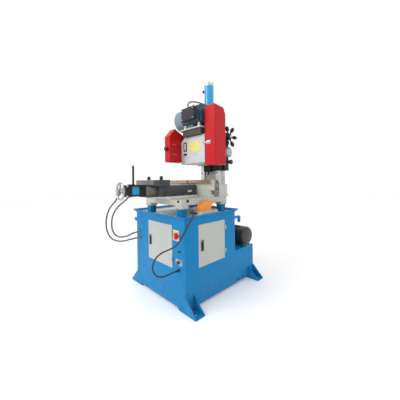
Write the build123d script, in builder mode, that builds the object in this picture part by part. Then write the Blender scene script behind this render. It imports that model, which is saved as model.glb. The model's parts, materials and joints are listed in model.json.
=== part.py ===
from build123d import *
import os
from math import atan, cos, pi, radians, sin, sqrt, tan

# Pipe and profile cutting machine: a vertical circular saw head on a column, over a
# hydraulic vise, on a sheet metal cabinet. Millimetres, +Z up, operator at -Y.
# The origin is on the floor, in the middle of the four anchor holes.

os.makedirs("parts", exist_ok=True)

# Clearances
slide_gap = 0.3            # between faces that slide past each other
shaft_gap = 0.08           # radial, round a turning or sliding shaft
seat_gap = 0.3             # a loose piece to what it rests on

# Cabinet
cabinet_width = 670.0
cabinet_depth = 580.0      # upper box, front to back
base_depth = 868.0         # lower box, with the oil tank behind
sheet = 3.0
panel_bottom = 20.0
tank_top = 303.0
panel_top = 645.0
rim_height = 30.0
rim_flare = 27.0
foot_reach = 105.0         # feet beyond the side panels
foot_depth = 85.0
foot_height = 115.0
foot_lip = 9.0
foot_plate = 6.0
foot_root = 70.0           # how far a foot runs back under the cabinet
anchor_hole_radius = 9.0
anchor_hole_out = 60.0     # hole centre beyond the side panel
post_size = 56.0
hook_size = 20.0
hook_reach = 92.0
hook_drop = 60.0
hook_z = 585.0
left_hook_reach = 44.0
left_hook_depth = 27.0

# Doors
door_bottom = 283.0
door_height = 318.0
front_door_width = 327.0
front_door_from_right = 305.5   # door centre from the right panel
side_door_width = 306.0
side_door_out = 284.0      # door centre behind the front panel
door_gap = 1.5
door_sheet = 2.0
door_fold = 16.0
door_proud = 1.5
hinge_radius = 5.0
hinge_pin_radius = 2.5
hinge_height = 18.0
hinge_out = 7.0            # hinge axis in front of the panel
hinge_leaf = 8.0
hinge_inset = 62.0         # hinge above the door's lower edge, or below its upper edge
latch_width = 18.0
latch_length = 84.0
latch_thick = 9.0
latch_pin_radius = 2.0
latch_ear = 4.0
latch_inset = 37.0         # latch centre from the door's free edge
latch_z = 440.0

# Front panel controls
isolator_from_right = 95.0
isolator_z = 532.0
isolator_plate_width = 70.0
isolator_plate_height = 75.0
isolator_badge = 60.0
isolator_knob_aside = 16.0 # knob to the right of its plate's middle
plate_thick = 2.0
isolator_knob_radius = 18.0
lamp_from_right = 61.0
lamp_z = 420.0
lamp_radius = 14.5
selector_from_right = 65.0
selector_z = 345.0
selector_plate_width = 71.0
selector_plate_height = 42.0
selector_knob_radius = 12.0
knob_spindle_radius = 4.0

# Switchgear inside the cabinet
panel_set_back = 170.0     # switchgear panel behind the front
panel_foot = 90.0
rail_drop = 108.0          # first row below the door's top edge
rail_step = 98.0
row_heights = (86.0, 72.0, 46.0)
row_counts = (5, 4, 8)
switchgear_depth = 62.0
switchgear_step = 12.0     # each row shallower than the one above
switchgear_gap = 3.0

# Base casting
tray_margin = 83.0         # tray beside the casting, where the pedal is kept
casting_depth = 548.0
casting_set_back = 38.0    # casting front behind the front panel
casting_top = 785.0
casting_apron = 45.0
casting_leg_bottom = 711.0
casting_wall = 18.0
casting_leg = 86.0
casting_corner = 22.0
vise_pad_width = 240.0
vise_pad_height = 19.0

# Vise
vise_axis_z = 856.0
bed_width = 200.0
bed_front = -477.0
bed_back = -94.0
bed_top = 888.0
bed_floor = 20.0
bed_channel = 92.0
bed_nose = 82.0            # thin front end under the clamp bracket
bed_nose_width = 150.0
bed_nose_thick = 16.0
bracket_width = 120.0
bracket_top = 884.0
end_plate = 84.0
rear_plate_thick = 46.0
front_plate_thick = 30.0
cylinder_length = 63.0
cylinder_body = 62.0       # square outside
cylinder_bore = 25.0
tie_rod_radius = 5.0
tie_rod_spread = 72.0
ram_radius = 18.0
clamp_stroke = 10.0
screw_radius = 12.0
screw_end = -104.0
wheel_radius = 59.0
wheel_rim = 6.5
wheel_y = -737.0
wheel_hub_radius = 20.0
wheel_hub_length = 34.0
lever_radius = 7.5
lever_length = 146.0
lever_pin_radius = 4.0
lever_boss = 8.0
lever_set_back = 30.0      # lever behind the front end plate
lever_boss_half = 8.5      # boss width to each side
lever_ear = 8.0
jaw_half_width = 170.0
jaw_front = -527.0
jaw_face = -428.0
jaw_bottom = 898.0
jaw_top = 934.0
jaw_split_x = 95.0         # light plate to the left, dark block to the right
jaw_bolt_radius = 12.0
jaw_bolt_height = 28.0
keel_length = 80.0
blade_slot = 16.0
fence_left = -300.0
fence_right = 282.0
fence_top = 932.0
fence_height = 26.0
fence_thick = 24.0
fence_wall = 28.0
fence_foot = 68.0

# Column and lift
column_x = 145.0
column_half = 111.0        # outer edges of the ways
way_width = 42.0
way_thick = 16.0
way_front = 36.0
column_inset = 24.0        # column box inside the ways' edges
column_back = 144.0
column_wall = 14.0
column_foot_top = 890.0
column_top = 1420.0
column_cap = 20.0
lift_radius = 42.0
lift_bore = 33.0
lift_top = 1776.0
lift_flange = 96.0
lift_flange_thick = 16.0
lift_cap_thick = 20.0
lift_rod_radius = 14.0
lift_piston_thick = 25.0
lift_head_gap = 18.0       # oil space over the piston
lift_post_radius = 6.0
lift_post_height = 24.0
lift_post_spread = 44.0
elbow_aside = 33.0         # elbow on the top cap, left of the middle

# Head
head_travel = 105.0
carriage_bottom = 1062.0
carriage_top = 1400.0
carriage_front = -10.0
stop_height = 58.0
stop_left = 42.0           # from the column's middle
stop_right = 36.0
stop_chamfer = 6.0
stop_pin_radius = 8.0
stop_pin_length = 26.0
stop_shelf = 14.0
wiper_height = 50.0
wing_front = 14.0
cheek = 18.0
keeper_thick = 14.0
gear_module = 2.0
pinion_teeth = 24
pinion_z = 1302.0
pinion_width = 18.0
backlash = 0.5
feed_shaft_radius = 9.0
housing_width = 58.0
housing_depth = 56.0
housing_bottom = 1012.0
housing_top = 1346.0
housing_wall = 6.0
feed_boss_radius = 20.0    # passes the rack
feed_boss_length = 16.0
clutch_boss_radius = 45.0
clutch_boss_z = 1172.0
clutch_boss_length = 26.0
capstan_hub_radius = 26.0
capstan_hub_length = 34.0
capstan_reach = 95.0
capstan_arms = 6
capstan_rake = 9.0        # degrees, arms lean outward
capstan_arm_radius = 7.0
capstan_grip_radius = 16.0
capstan_grip_length = 52.0
lock_knob_radius = 20.0
lock_knob_z = 1085.0
lock_knob_stem = 34.0
lock_knob_thick = 22.0
drive_y = -152.0           # spindle, gearbox input and motor stand in one plane
spindle_z = 1125.0
motor_z = 1448.0
gearbox_left = 36.0
gearbox_right = 322.0
gearbox_front = -210.0
gearbox_bottom = 1066.0
gearbox_top = 1290.0
gearbox_chamfer = 30.0
spindle_radius = 16.0
spindle_depth = 60.0
arbor_flange_radius = 50.0
arbor_flange_thick = 12.0
input_radius = 14.0
guard_half = 36.0
guard_front = -329.0
guard_back = 11.0
guard_bottom = 1085.0
guard_height = 280.0
guard_front_height = 213.0
guard_peak_back = 56.0     # peak behind the front edge
guard_slope = -0.522       # fall of the roof behind the peak
guard_knob_up = 108.0
guard_sheet = 2.0
guard_knob_radius = 17.0
guard_corner = 4.0
cover_sheet = 2.0
cover_corner = 7.0
cover_left = 325.3
cover_right = 426.0
cover_back = -80.0
cover_bottom = 1046.0
cover_top = 1497.0
cover_hinge_out = 10.0
motor_pulley_radius = 36.0
input_pulley_radius = 41.0
pulley_left = 340.0
pulley_width = 34.0
belt_width = 12.0
belt_thick = 7.0
motor_radius = 92.0
motor_fin = 6.0
motor_left = 90.0
motor_right = 300.0
fan_cover_left = -25.0
fan_sheet = 3.0
fan_lip = 4.0              # cover's mouth over the motor
vent_width = 9.0
motor_plate_bottom = 1338.0
motor_plate_thick = 8.0
motor_plate_left = 80.0
motor_plate_front = -254.0
motor_plate_back = -50.0
motor_base_inset = 16.0
terminal_left = 140.0
terminal_right = 285.0
terminal_bottom = 1398.0
terminal_top = 1495.0
terminal_front = -292.0

# Hydraulic unit and pedal
pump_motor_y = 350.0
pump_motor_z = 398.0
pump_motor_radius = 83.0
pump_motor_length = 240.0
pump_cowl_length = 68.0
pump_cowl_lap = 2.0        # cowl over the body and clear of the fins
pump_cowl_flare = 3.0      # cowl wider at its mouth
pump_cowl_taper = 16.0
pump_body_inset = 5.0      # bare body under the fins
pump_fin_start = 14.0
pump_fin_height = 8.0
pump_fin_thick = 3.4
pump_foot_near = 40.0      # from the motor's left end
pump_foot_far = 90.0       # from the cowl's end
pump_foot_in = 42.0        # from the axis
pump_foot_out = 84.0
pump_foot_thick = 12.0
pump_leg_in = 46.0
pump_leg_thick = 12.0
pump_leg_inset = 10.0
pump_leg_drop = 30.0       # leg's top below the axis
pump_box_start = 10.0
pump_box_length = 45.0
pump_box_half = 40.0
pump_box_sink = 16.0
pump_box_up = 22.0         # terminal box over the motor
pump_flange = 16.0
pump_bell = 60.0
pump_bell_lap = 2.0
pump_body_length = 72.0
pump_body_half = 42.0
pump_body_up = 46.0
pump_body_corner = 8.0
suction_radius = 14.0
pedal_gap = 3.0            # pedal to the casting beside it
pedal_width = 72.0
pedal_front = -257.0
pedal_length = 190.0
pedal_base_height = 42.0
pedal_hood_height = 76.0
pedal_wall = 4.0
hood_nose = 33.0           # hood's height at the cord's end
hood_mouth = 45.0          # height of its side opening
hood_fall = 9.0            # brow lower than the peak
treadle_half = 20.0
pedal_gland_aside = 16.0   # cord gland from the pedal's left edge
treadle_boss = 8.0
treadle_pin = 4.0

# Hoses and cords
hose_radius = 6.5
upper_fitting_in = 54.0    # from the left panel
upper_fitting_z = 476.0
lower_fitting_in = 59.0
lower_fitting_z = 427.0
fitting_out = 26.0
cord_gland_in = 64.0       # from the right panel
cord_gland_z = 289.0
pedal_cord_radius = 5.0
motor_cable_radius = 5.0

# Places that follow from the sizes above
half_width = cabinet_width / 2
casting_width = cabinet_width - 2 * tray_margin
front = -base_depth / 2
back = base_depth / 2
upper_back = front + cabinet_depth
upper_mid = (front + upper_back) / 2
tray_top = panel_top + sheet
front_door_x = half_width - front_door_from_right
isolator_x = half_width - isolator_from_right
isolator_knob_x = isolator_x + isolator_knob_aside
lamp_x = half_width - lamp_from_right
selector_x = half_width - selector_from_right


def block(x, y, z, mode=Mode.ADD):
    """A box between two values on each axis."""
    with Locations(((x[0] + x[1]) / 2, (y[0] + y[1]) / 2, (z[0] + z[1]) / 2)):
        Box(x[1] - x[0], y[1] - y[0], z[1] - z[0], mode=mode)


def bar_x(radius, x, y, z, mode=Mode.ADD):
    """A round bar along X."""
    with Locations(Location(((x[0] + x[1]) / 2, y, z), (0, 90, 0))):
        Cylinder(radius, x[1] - x[0], mode=mode)


def bar_y(radius, x, y, z, mode=Mode.ADD):
    """A round bar along Y."""
    with Locations(Location((x, (y[0] + y[1]) / 2, z), (90, 0, 0))):
        Cylinder(radius, y[1] - y[0], mode=mode)


def bar_z(radius, x, y, z, mode=Mode.ADD):
    """A round bar along Z."""
    with Locations((x, y, (z[0] + z[1]) / 2)):
        Cylinder(radius, z[1] - z[0], mode=mode)


def side_plate(points, x, mode=Mode.ADD):
    """An outline of (y, z) points, as thick as the two x values say."""
    with BuildSketch(Plane.YZ.offset(x[0])) as outline:
        with BuildLine():
            Polyline(*points, close=True)
        make_face()
    extrude(outline.sketch, amount=x[1] - x[0], mode=mode)


def front_plate(points, y, mode=Mode.ADD):
    """An outline of (x, z) points, as thick as the two y values say."""
    with BuildSketch(Plane.XZ.offset(-y[1])) as outline:
        with BuildLine():
            Polyline(*points, close=True)
        make_face()
    extrude(outline.sketch, amount=y[1] - y[0], mode=mode)


def save(name, piece):
    """Label a finished piece and write it."""
    piece.part.label = name
    export_step(piece.part, f"parts/{name}.step")


# Cabinet: folded and welded sheet, with its flared tray rim, feet, posts and hooks
front_door_edges = (front_door_x - front_door_width / 2, front_door_x + front_door_width / 2)
side_door_edges = (front + side_door_out - side_door_width / 2, front + side_door_out + side_door_width / 2)
door_edges = (door_bottom, door_bottom + door_height)
casting_front = front + casting_set_back
casting_back = casting_front + casting_depth
casting_mid = (casting_front + casting_back) / 2
leg_x = casting_width / 2 - casting_leg / 2
leg_y = casting_depth / 2 - casting_leg / 2

with BuildPart() as cabinet:
    block((-half_width, half_width), (front, back), (panel_bottom, tank_top))
    block((-half_width, half_width), (front, upper_back), (panel_bottom, panel_top))
    inside = (-half_width + sheet, half_width - sheet)
    block(inside, (front + sheet, back - sheet), (panel_bottom + sheet, tank_top - sheet), Mode.SUBTRACT)
    block(inside, (front + sheet, upper_back - sheet), (panel_bottom + sheet, panel_top - sheet),
          Mode.SUBTRACT)
    block(front_door_edges, (front - sheet, front + 2 * sheet), door_edges, Mode.SUBTRACT)
    block((half_width - 2 * sheet, half_width + sheet), side_door_edges, door_edges, Mode.SUBTRACT)
    for wall, mode in ((0, Mode.ADD), (sheet, Mode.SUBTRACT)):
        with BuildSketch(Plane.XY.offset(panel_top)) as rim_low:
            with Locations((0, upper_mid)):
                Rectangle(cabinet_width - 2 * wall, cabinet_depth - 2 * wall)
        with BuildSketch(Plane.XY.offset(panel_top + rim_height)) as rim_high:
            with Locations((0, upper_mid)):
                Rectangle(cabinet_width + 2 * (rim_flare - wall), cabinet_depth + 2 * (rim_flare - wall))
        loft([rim_low.sketch.faces()[0], rim_high.sketch.faces()[0]], mode=mode)
    with BuildSketch(Plane.XY.offset(panel_top - sheet)) as posts:
        with Locations((0, casting_mid)):
            with GridLocations(2 * leg_x, 2 * leg_y, 2, 2):
                Rectangle(post_size, post_size)
    extrude(posts.sketch, amount=casting_leg_bottom - panel_top + sheet)
    for side in (-1, 1):
        for end in (-1, 1):
            face = end * base_depth / 2
            tip = side * (half_width + foot_reach)
            root = side * (half_width - foot_root)
            edge = side * half_width
            gusset = [(edge, 0), (tip, 0), (tip, foot_lip), (edge, foot_height)]
            skirt = [(root, 0), (tip, 0), (tip, foot_lip), (edge, foot_height), (edge, panel_bottom),
                     (root - side * panel_bottom, panel_bottom)]
            front_plate(skirt, sorted((face, face - end * foot_plate)))
            inner = face - end * foot_depth
            front_plate(gusset, sorted((inner, inner + end * foot_plate)))
            block(sorted((root, tip)), sorted((face, inner)), (0, foot_plate))
            hole_x = side * (half_width + anchor_hole_out)
            bar_z(anchor_hole_radius, hole_x, (face + inner) / 2, (-1, foot_plate + 1), Mode.SUBTRACT)
            block(sorted((edge, root)), sorted((face, inner)), (foot_plate, panel_bottom))
    hook_x = half_width - sheet - hook_size
    block((hook_x, hook_x + hook_size), (upper_back, upper_back + hook_reach), (hook_z, hook_z + hook_size))
    hook_tip = upper_back + hook_reach
    block((hook_x, hook_x + hook_size), (hook_tip - hook_size, hook_tip),
          (hook_z - hook_drop + hook_size, hook_z))
    block((-half_width - left_hook_reach, -half_width), (front, front + left_hook_depth),
          (hook_z - hook_size, hook_z + hook_size / 2))
    fillet(cabinet.edges().filter_by(Axis.X).filter_by_position(Axis.Y, hook_tip - 0.1, hook_tip + 0.1),
           hook_size * 0.45)
save("cabinet", cabinet)

# Chip tray: a light pan on the cabinet's top, round the posts
tray_inside = (-half_width + sheet + seat_gap, half_width - sheet - seat_gap)
tray_depth = (front + sheet + seat_gap, upper_back - sheet - seat_gap)
with BuildPart() as chip_tray:
    block(tray_inside, tray_depth, (panel_top, panel_top + 4 * sheet))
    block((tray_inside[0] + sheet, tray_inside[1] - sheet), (tray_depth[0] + sheet, tray_depth[1] - sheet),
          (tray_top, panel_top + 5 * sheet), Mode.SUBTRACT)
    with BuildSketch(Plane.XY.offset(panel_top - 1)) as post_holes:
        with Locations((0, casting_mid)):
            with GridLocations(2 * leg_x, 2 * leg_y, 2, 2):
                Rectangle(post_size + 2 * seat_gap, post_size + 2 * seat_gap)
    extrude(post_holes.sketch, amount=sheet + 2, mode=Mode.SUBTRACT)
save("chip_tray", chip_tray)

# Base casting: a ribbed table on four legs, with a raised machined pad for the vise
apron_bottom = casting_top - casting_apron
with BuildPart() as base_casting:
    with BuildSketch(Plane.XY.offset(apron_bottom)) as table:
        with Locations((0, casting_mid)):
            RectangleRounded(casting_width, casting_depth, casting_corner)
    extrude(table.sketch, amount=casting_apron)
    block((-casting_width / 2 + casting_wall, casting_width / 2 - casting_wall),
          (casting_front + casting_wall, casting_back - casting_wall),
          (apron_bottom, casting_top - casting_wall), Mode.SUBTRACT)
    for rib in (-0.18, 0.18):
        block((rib * casting_width - casting_wall / 2, rib * casting_width + casting_wall / 2),
              (casting_front + 1, casting_back - 1), (apron_bottom + casting_wall / 2, casting_top - 1))
    with BuildSketch(Plane.XY.offset(casting_top - casting_wall)) as legs:
        with Locations((0, casting_mid)):
            with GridLocations(2 * leg_x, 2 * leg_y, 2, 2):
                RectangleRounded(casting_leg, casting_leg, casting_corner)
    extrude(legs.sketch, amount=casting_leg_bottom - casting_top + casting_wall)
    block((-vise_pad_width / 2, vise_pad_width / 2), (casting_front, bed_back),
          (casting_top, casting_top + vise_pad_height))
    bar_x(casting_wall / 2, (casting_width / 2 - casting_wall, casting_width / 2 + 1), casting_front + 65,
          casting_top - 13, Mode.SUBTRACT)
    chamfer(base_casting.faces().filter_by(Axis.Z).group_by(Axis.Z)[0].edges(), 6)
save("base_casting", base_casting)

# Vise bed: a channel with a thin nose that carries the clamp bracket
bed_bottom = casting_top + vise_pad_height
channel_bottom = bed_bottom + bed_floor
bed_nose_front = bed_front - bed_nose
with BuildPart() as vise_bed:
    block((-bed_width / 2, bed_width / 2), (bed_front, bed_back), (bed_bottom, bed_top))
    chamfer(vise_bed.faces().sort_by(Axis.Z)[-1].edges().filter_by(Axis.Y), 4)
    block((-bed_channel / 2, bed_channel / 2), (bed_front - 1, bed_back + 1), (channel_bottom, bed_top + 1),
          Mode.SUBTRACT)
    for side in (-1, 1):
        groove = sorted((side * bed_width / 2, side * (bed_width / 2 - 8)))
        block(groove, (bed_front + 30, bed_back - 40), (channel_bottom, channel_bottom + 22), Mode.SUBTRACT)
    block((-bed_nose_width / 2, bed_nose_width / 2), (bed_nose_front, bed_front),
          (bed_bottom, bed_bottom + bed_nose_thick))
save("vise_bed", vise_bed)

# Clamp bracket between the bed and the clamp cylinder
nose_top = bed_bottom + bed_nose_thick
bracket_front = bed_nose_front
with BuildPart() as cylinder_bracket:
    block((-bracket_width / 2, bracket_width / 2), (bracket_front, bed_front), (nose_top, bracket_top))
    fillet(cylinder_bracket.edges().filter_by(Axis.Y).group_by(Axis.Z)[-1], 14)
    bar_y(ram_radius + 2, 0, (bracket_front - 1, bed_front + 1), vise_axis_z, Mode.SUBTRACT)
save("cylinder_bracket", cylinder_bracket)

# Clamp cylinder: tube between two square end plates, held by four tie rods
rear_plate = (bracket_front - rear_plate_thick, bracket_front)
tube_span = (rear_plate[0] - cylinder_length, rear_plate[0])
front_plate_span = (tube_span[0] - front_plate_thick, tube_span[0])
plate_edges = (vise_axis_z - end_plate / 2, vise_axis_z + end_plate / 2)
rod_places = [(i * tie_rod_spread / 2, vise_axis_z + k * tie_rod_spread / 2)
              for i in (-1, 1) for k in (-1, 1)]
lever_y = tube_span[0] + lever_set_back
body_half = cylinder_body / 2
lever_pivot = vise_axis_z + body_half + lever_boss + 1
with BuildPart() as cylinder_frame:
    for span in (rear_plate, front_plate_span):
        block((-end_plate / 2, end_plate / 2), span, plate_edges)
        bar_y(ram_radius + shaft_gap, 0, (span[0] - 1, span[1] + 1), vise_axis_z, Mode.SUBTRACT)
    for x, z in rod_places:
        bar_y(tie_rod_radius, x, (front_plate_span[0] - 8, bracket_front), z)
    for side in (-1, 1):
        ear = sorted((side * (lever_boss_half + slide_gap), side * (lever_boss_half + lever_ear)))
        ear_span = (tube_span[0] - front_plate_thick / 3, lever_y + lever_boss)
        block(ear, ear_span, (vise_axis_z + body_half + slide_gap, lever_pivot + lever_boss))
    bar_x(lever_pin_radius, (-lever_boss_half - lever_ear, lever_boss_half + lever_ear), lever_y, lever_pivot)
save("cylinder_frame", cylinder_frame)

with BuildPart() as cylinder_tube:
    block((-body_half, body_half), tube_span, (vise_axis_z - body_half, vise_axis_z + body_half))
    fillet(cylinder_tube.edges().filter_by(Axis.Y), 6)
    bar_y(cylinder_bore, 0, (tube_span[0] - 1, tube_span[1] + 1), vise_axis_z, Mode.SUBTRACT)
    for x, z in rod_places:
        bar_y(tie_rod_radius + seat_gap, x, (tube_span[0] - 1, tube_span[1] + 1), z, Mode.SUBTRACT)
save("cylinder_tube", cylinder_tube)

# Upright lever on the front end plate
with BuildPart() as clamp_lever:
    bar_x(lever_boss, (-lever_boss_half, lever_boss_half), lever_y, lever_pivot)
    bar_z(lever_radius, 0, lever_y, (lever_pivot, lever_pivot + lever_length))
    fillet(clamp_lever.faces().sort_by(Axis.Z)[-1].edges(), lever_radius * 0.6)
    bar_x(lever_pin_radius + shaft_gap, (-lever_boss_half - 1, lever_boss_half + 1), lever_y, lever_pivot,
          Mode.SUBTRACT)
save("clamp_lever", clamp_lever)

# Clamp ram: a hollow rod with its piston, which pushes the screw and the jaw
ram_span = (front_plate_span[0] - clamp_stroke, bracket_front + clamp_stroke / 2)
with BuildPart() as clamp_ram:
    bar_y(ram_radius, 0, ram_span, vise_axis_z)
    piston_start = tube_span[0] + 8
    bar_y(cylinder_bore - shaft_gap, 0, (piston_start, piston_start + 22), vise_axis_z)
    bar_y(screw_radius + shaft_gap, 0, (ram_span[0] - 1, ram_span[1] + 1), vise_axis_z, Mode.SUBTRACT)
save("clamp_ram", clamp_ram)

# Lead screw with its thrust collar, and the handwheel
wheel_hub = (wheel_y - wheel_hub_length / 2, wheel_y + wheel_hub_length / 2)
with BuildPart() as lead_screw:
    bar_y(screw_radius, 0, (wheel_hub[0] - 2, screw_end), vise_axis_z)
    bar_y(screw_radius + 5, 0, (wheel_hub[1], ram_span[0] - slide_gap), vise_axis_z)
    chamfer(lead_screw.faces().sort_by(Axis.Y)[-1].edges(), 2)
save("lead_screw", lead_screw)

wheel_center = Plane(origin=(0, wheel_y, vise_axis_z), x_dir=(1, 0, 0), z_dir=(0, -1, 0))
with BuildPart(wheel_center) as handwheel:
    Torus(wheel_radius, wheel_rim)
    Cylinder(wheel_hub_radius, wheel_hub_length)
    with PolarLocations(0, 3, start_angle=90):
        with Locations(Location(((wheel_hub_radius + wheel_radius) / 2, 0, 0), (0, 90, 0))):
            Cone(7, 5, wheel_radius - wheel_hub_radius + 6)
    Hole(screw_radius + shaft_gap, depth=2 * wheel_hub_length)
save("handwheel", handwheel)

# Moving jaw: a keel in the bed's channel, a saddle, a dark block and a light cross plate
keel_front = bed_front + 2
keel_back = keel_front + keel_length
keel_half = bed_channel / 2 - slide_gap
saddle_bottom = bed_top + slide_gap
slot_front = jaw_face - 0.55 * (jaw_face - jaw_front)
with BuildPart() as jaw_carriage:
    block((-keel_half, keel_half), (keel_front, keel_back), (channel_bottom + slide_gap, jaw_bottom))
    block((-jaw_half_width, jaw_half_width), (jaw_front, keel_back), (saddle_bottom, jaw_bottom))
    front_plate([(jaw_half_width, saddle_bottom), (jaw_half_width, jaw_bottom),
                 (bed_width / 2 + 20, jaw_bottom)],
                (jaw_face, keel_back), Mode.SUBTRACT)
    block((jaw_split_x, jaw_half_width), (jaw_front, jaw_face), (jaw_bottom, jaw_top))
    block((-blade_slot / 2, blade_slot / 2), (slot_front, jaw_face + 1), (jaw_bottom - 1, jaw_top + 1),
          Mode.SUBTRACT)
    bar_y(screw_radius + slide_gap, 0, (keel_front - 1, keel_back + 1), vise_axis_z, Mode.SUBTRACT)
    fillet(jaw_carriage.edges().filter_by(Axis.Z).group_by(Axis.X)[-1], 6)
save("jaw_carriage", jaw_carriage)

jaw_mid = (jaw_front + jaw_face) / 2
with BuildPart() as jaw_plate:
    block((-jaw_half_width, jaw_split_x), (jaw_front, jaw_face), (jaw_bottom, jaw_top))
    block((-blade_slot / 2, blade_slot / 2), (slot_front, jaw_face + 1), (jaw_bottom - 1, jaw_top + 1),
          Mode.SUBTRACT)
    fillet(jaw_plate.edges().filter_by(Axis.Z).group_by(Axis.X)[0], 6)
    for x in (-0.19 * jaw_half_width, 0.82 * jaw_half_width):
        with BuildSketch(Plane.XY.offset(jaw_top)) as bolt_head:
            with Locations((x, jaw_mid - 10)):
                RegularPolygon(jaw_bolt_radius, 6)
        extrude(bolt_head.sketch, amount=jaw_bolt_height)
save("jaw_plate", jaw_plate)

# Fixed jaw: a ribbed angle behind the bed, with a bare steel fence bar in two halves
fence_face = bed_back - 16
wall_front = fence_face + fence_thick
with BuildPart() as fixed_jaw_support:
    block((fence_left, fence_right), (wall_front, wall_front + fence_wall), (casting_top + 60, fence_top - 3))
    foot_x = (-casting_width / 2 + 10, casting_width / 2 - 10)
    foot_top = casting_top + casting_wall
    block(foot_x, (wall_front, wall_front + fence_wall), (casting_top, fence_top - 60))
    block(foot_x, (wall_front, wall_front + fence_foot), (casting_top, foot_top))
    for x in (-0.42, -0.16, 0.16, 0.42):
        rib = (x * casting_width - 7, x * casting_width + 7)
        rib_front = wall_front + fence_wall - 1
        side_plate([(rib_front, foot_top - 1), (wall_front + fence_foot, foot_top - 1),
                    (rib_front, fence_top - 30)], rib)
    block((-blade_slot / 2, blade_slot / 2), (wall_front - 1, wall_front + fence_foot + 1),
          (fence_top - 80, fence_top), Mode.SUBTRACT)
save("fixed_jaw_support", fixed_jaw_support)

with BuildPart() as fixed_jaw_bar:
    for span in ((fence_left, -blade_slot / 2), (blade_slot / 2, fence_right)):
        block(span, (fence_face, wall_front), (fence_top - fence_height, fence_top))
    chamfer(fixed_jaw_bar.edges().filter_by(Axis.X).group_by(Axis.Z)[-1].sort_by(Axis.Y)[:2], 2)
save("fixed_jaw_bar", fixed_jaw_bar)

# Column: a hollow box on a foot block, with a cap that carries the lift cylinder
ways_back = way_front + way_thick
box_half = column_half - column_inset
box_x = (column_x - box_half, column_x + box_half)
way_spans = [(column_x - column_half, column_x - column_half + way_width),
             (column_x + column_half - way_width, column_x + column_half)]
lift_y = way_front
cap_front = lift_y - lift_flange / 2
with BuildPart() as column:
    block((column_x - column_half - 6, column_x + column_half + 6), (way_front - 10, column_back + 6),
          (casting_top, casting_top + casting_wall))
    block((column_x - column_half, column_x + column_half), (way_front, column_back),
          (casting_top, column_foot_top))
    block(box_x, (ways_back, column_back), (column_foot_top, column_top))
    block(box_x, (cap_front, column_back), (column_top, column_top + column_cap))
    block((box_x[0] + column_wall, box_x[1] - column_wall),
          (ways_back + column_wall, column_back - column_wall),
          (casting_top - 1, column_top), Mode.SUBTRACT)
    for x in (0.66, 0.88):
        slot_x = column_x + x * column_half
        block((slot_x - 5, slot_x + 5), (way_front - 1, way_front + 12),
              (column_foot_top - 58, column_foot_top - 8), Mode.SUBTRACT)
    bar_z(lift_rod_radius + 4, column_x, lift_y, (column_top - 1, column_top + column_cap + 1), Mode.SUBTRACT)
save("column", column)

with BuildPart() as column_ways:
    for span in way_spans:
        block(span, (way_front, ways_back), (column_foot_top, column_top))
save("column_ways", column_ways)

# Lift cylinder
lift_base = column_top + column_cap
lift_tube_span = (lift_base + lift_flange_thick, lift_top)
with BuildPart() as lift_tube:
    bar_z(lift_radius, column_x, lift_y, lift_tube_span)
    bar_z(lift_bore, column_x, lift_y, (lift_tube_span[0] - 1, lift_tube_span[1] + 1), Mode.SUBTRACT)
save("lift_tube", lift_tube)

with BuildPart() as lift_caps:
    with BuildSketch(Plane.XY.offset(lift_base)) as flange:
        with Locations((column_x, lift_y)):
            RectangleRounded(lift_flange, lift_flange, 10)
    extrude(flange.sketch, amount=lift_flange_thick)
    bar_z(lift_rod_radius + shaft_gap, column_x, lift_y, (lift_base - 1, lift_tube_span[0] + 1),
          Mode.SUBTRACT)
    bar_z(lift_radius, column_x, lift_y, (lift_top, lift_top + lift_cap_thick))
    fillet(lift_caps.faces().sort_by(Axis.Z)[-1].edges(), 4)
    cap_top = lift_top + lift_cap_thick
    with BuildSketch(Plane.XY.offset(cap_top)) as posts:
        with Locations((column_x, lift_y)):
            with GridLocations(lift_post_spread, lift_post_spread, 2, 2):
                Circle(lift_post_radius)
    extrude(posts.sketch, amount=lift_post_height)
save("lift_caps", lift_caps)

with BuildPart() as lift_rod:
    piston_top = lift_top - lift_head_gap
    bar_z(lift_rod_radius, column_x, lift_y, (carriage_top, piston_top))
    bar_z(lift_bore - shaft_gap, column_x, lift_y, (piston_top - lift_piston_thick, piston_top))
save("lift_rod", lift_rod)

# Head carriage: a slide that wraps the ways, with keepers behind them
left_cheek = (way_spans[0][0] - cheek, way_spans[0][0] - slide_gap)
right_cheek = (way_spans[1][1] + slide_gap, way_spans[1][1] + cheek)
slide_back = way_front - slide_gap
keeper_front = ways_back + slide_gap
carriage_z = (carriage_bottom, carriage_top)
body_left = gearbox_left + 24
with BuildPart() as head_carriage:
    block((body_left, column_x + box_half), (carriage_front, slide_back), carriage_z)
    block((left_cheek[0], right_cheek[1]), (wing_front, slide_back), carriage_z)
    for span in (left_cheek, right_cheek):
        block(span, (wing_front, keeper_front), carriage_z)
    lug = lift_rod_radius + 16
    block((column_x - lug, column_x + lug), (wing_front, ways_back - 2), (carriage_top - 60, carriage_top))
    fillet(head_carriage.edges().filter_by(Axis.Z).group_by(Axis.Y)[0], 8)
save("head_carriage", head_carriage)

# Keepers: the right one is also the feed rack
rack_pitch = pi * gear_module
rack_root = keeper_front + keeper_thick - 2.25 * gear_module
rack_pitch_line = rack_root + 1.25 * gear_module
pinion_radius = gear_module * pinion_teeth / 2
pinion_y = rack_pitch_line + pinion_radius
pressure = radians(20)
rack_low = pinion_z - 3 * rack_pitch
rack_count = int((head_travel + 6 * rack_pitch) / rack_pitch) + 1
keeper_reach = way_width / 2


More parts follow.
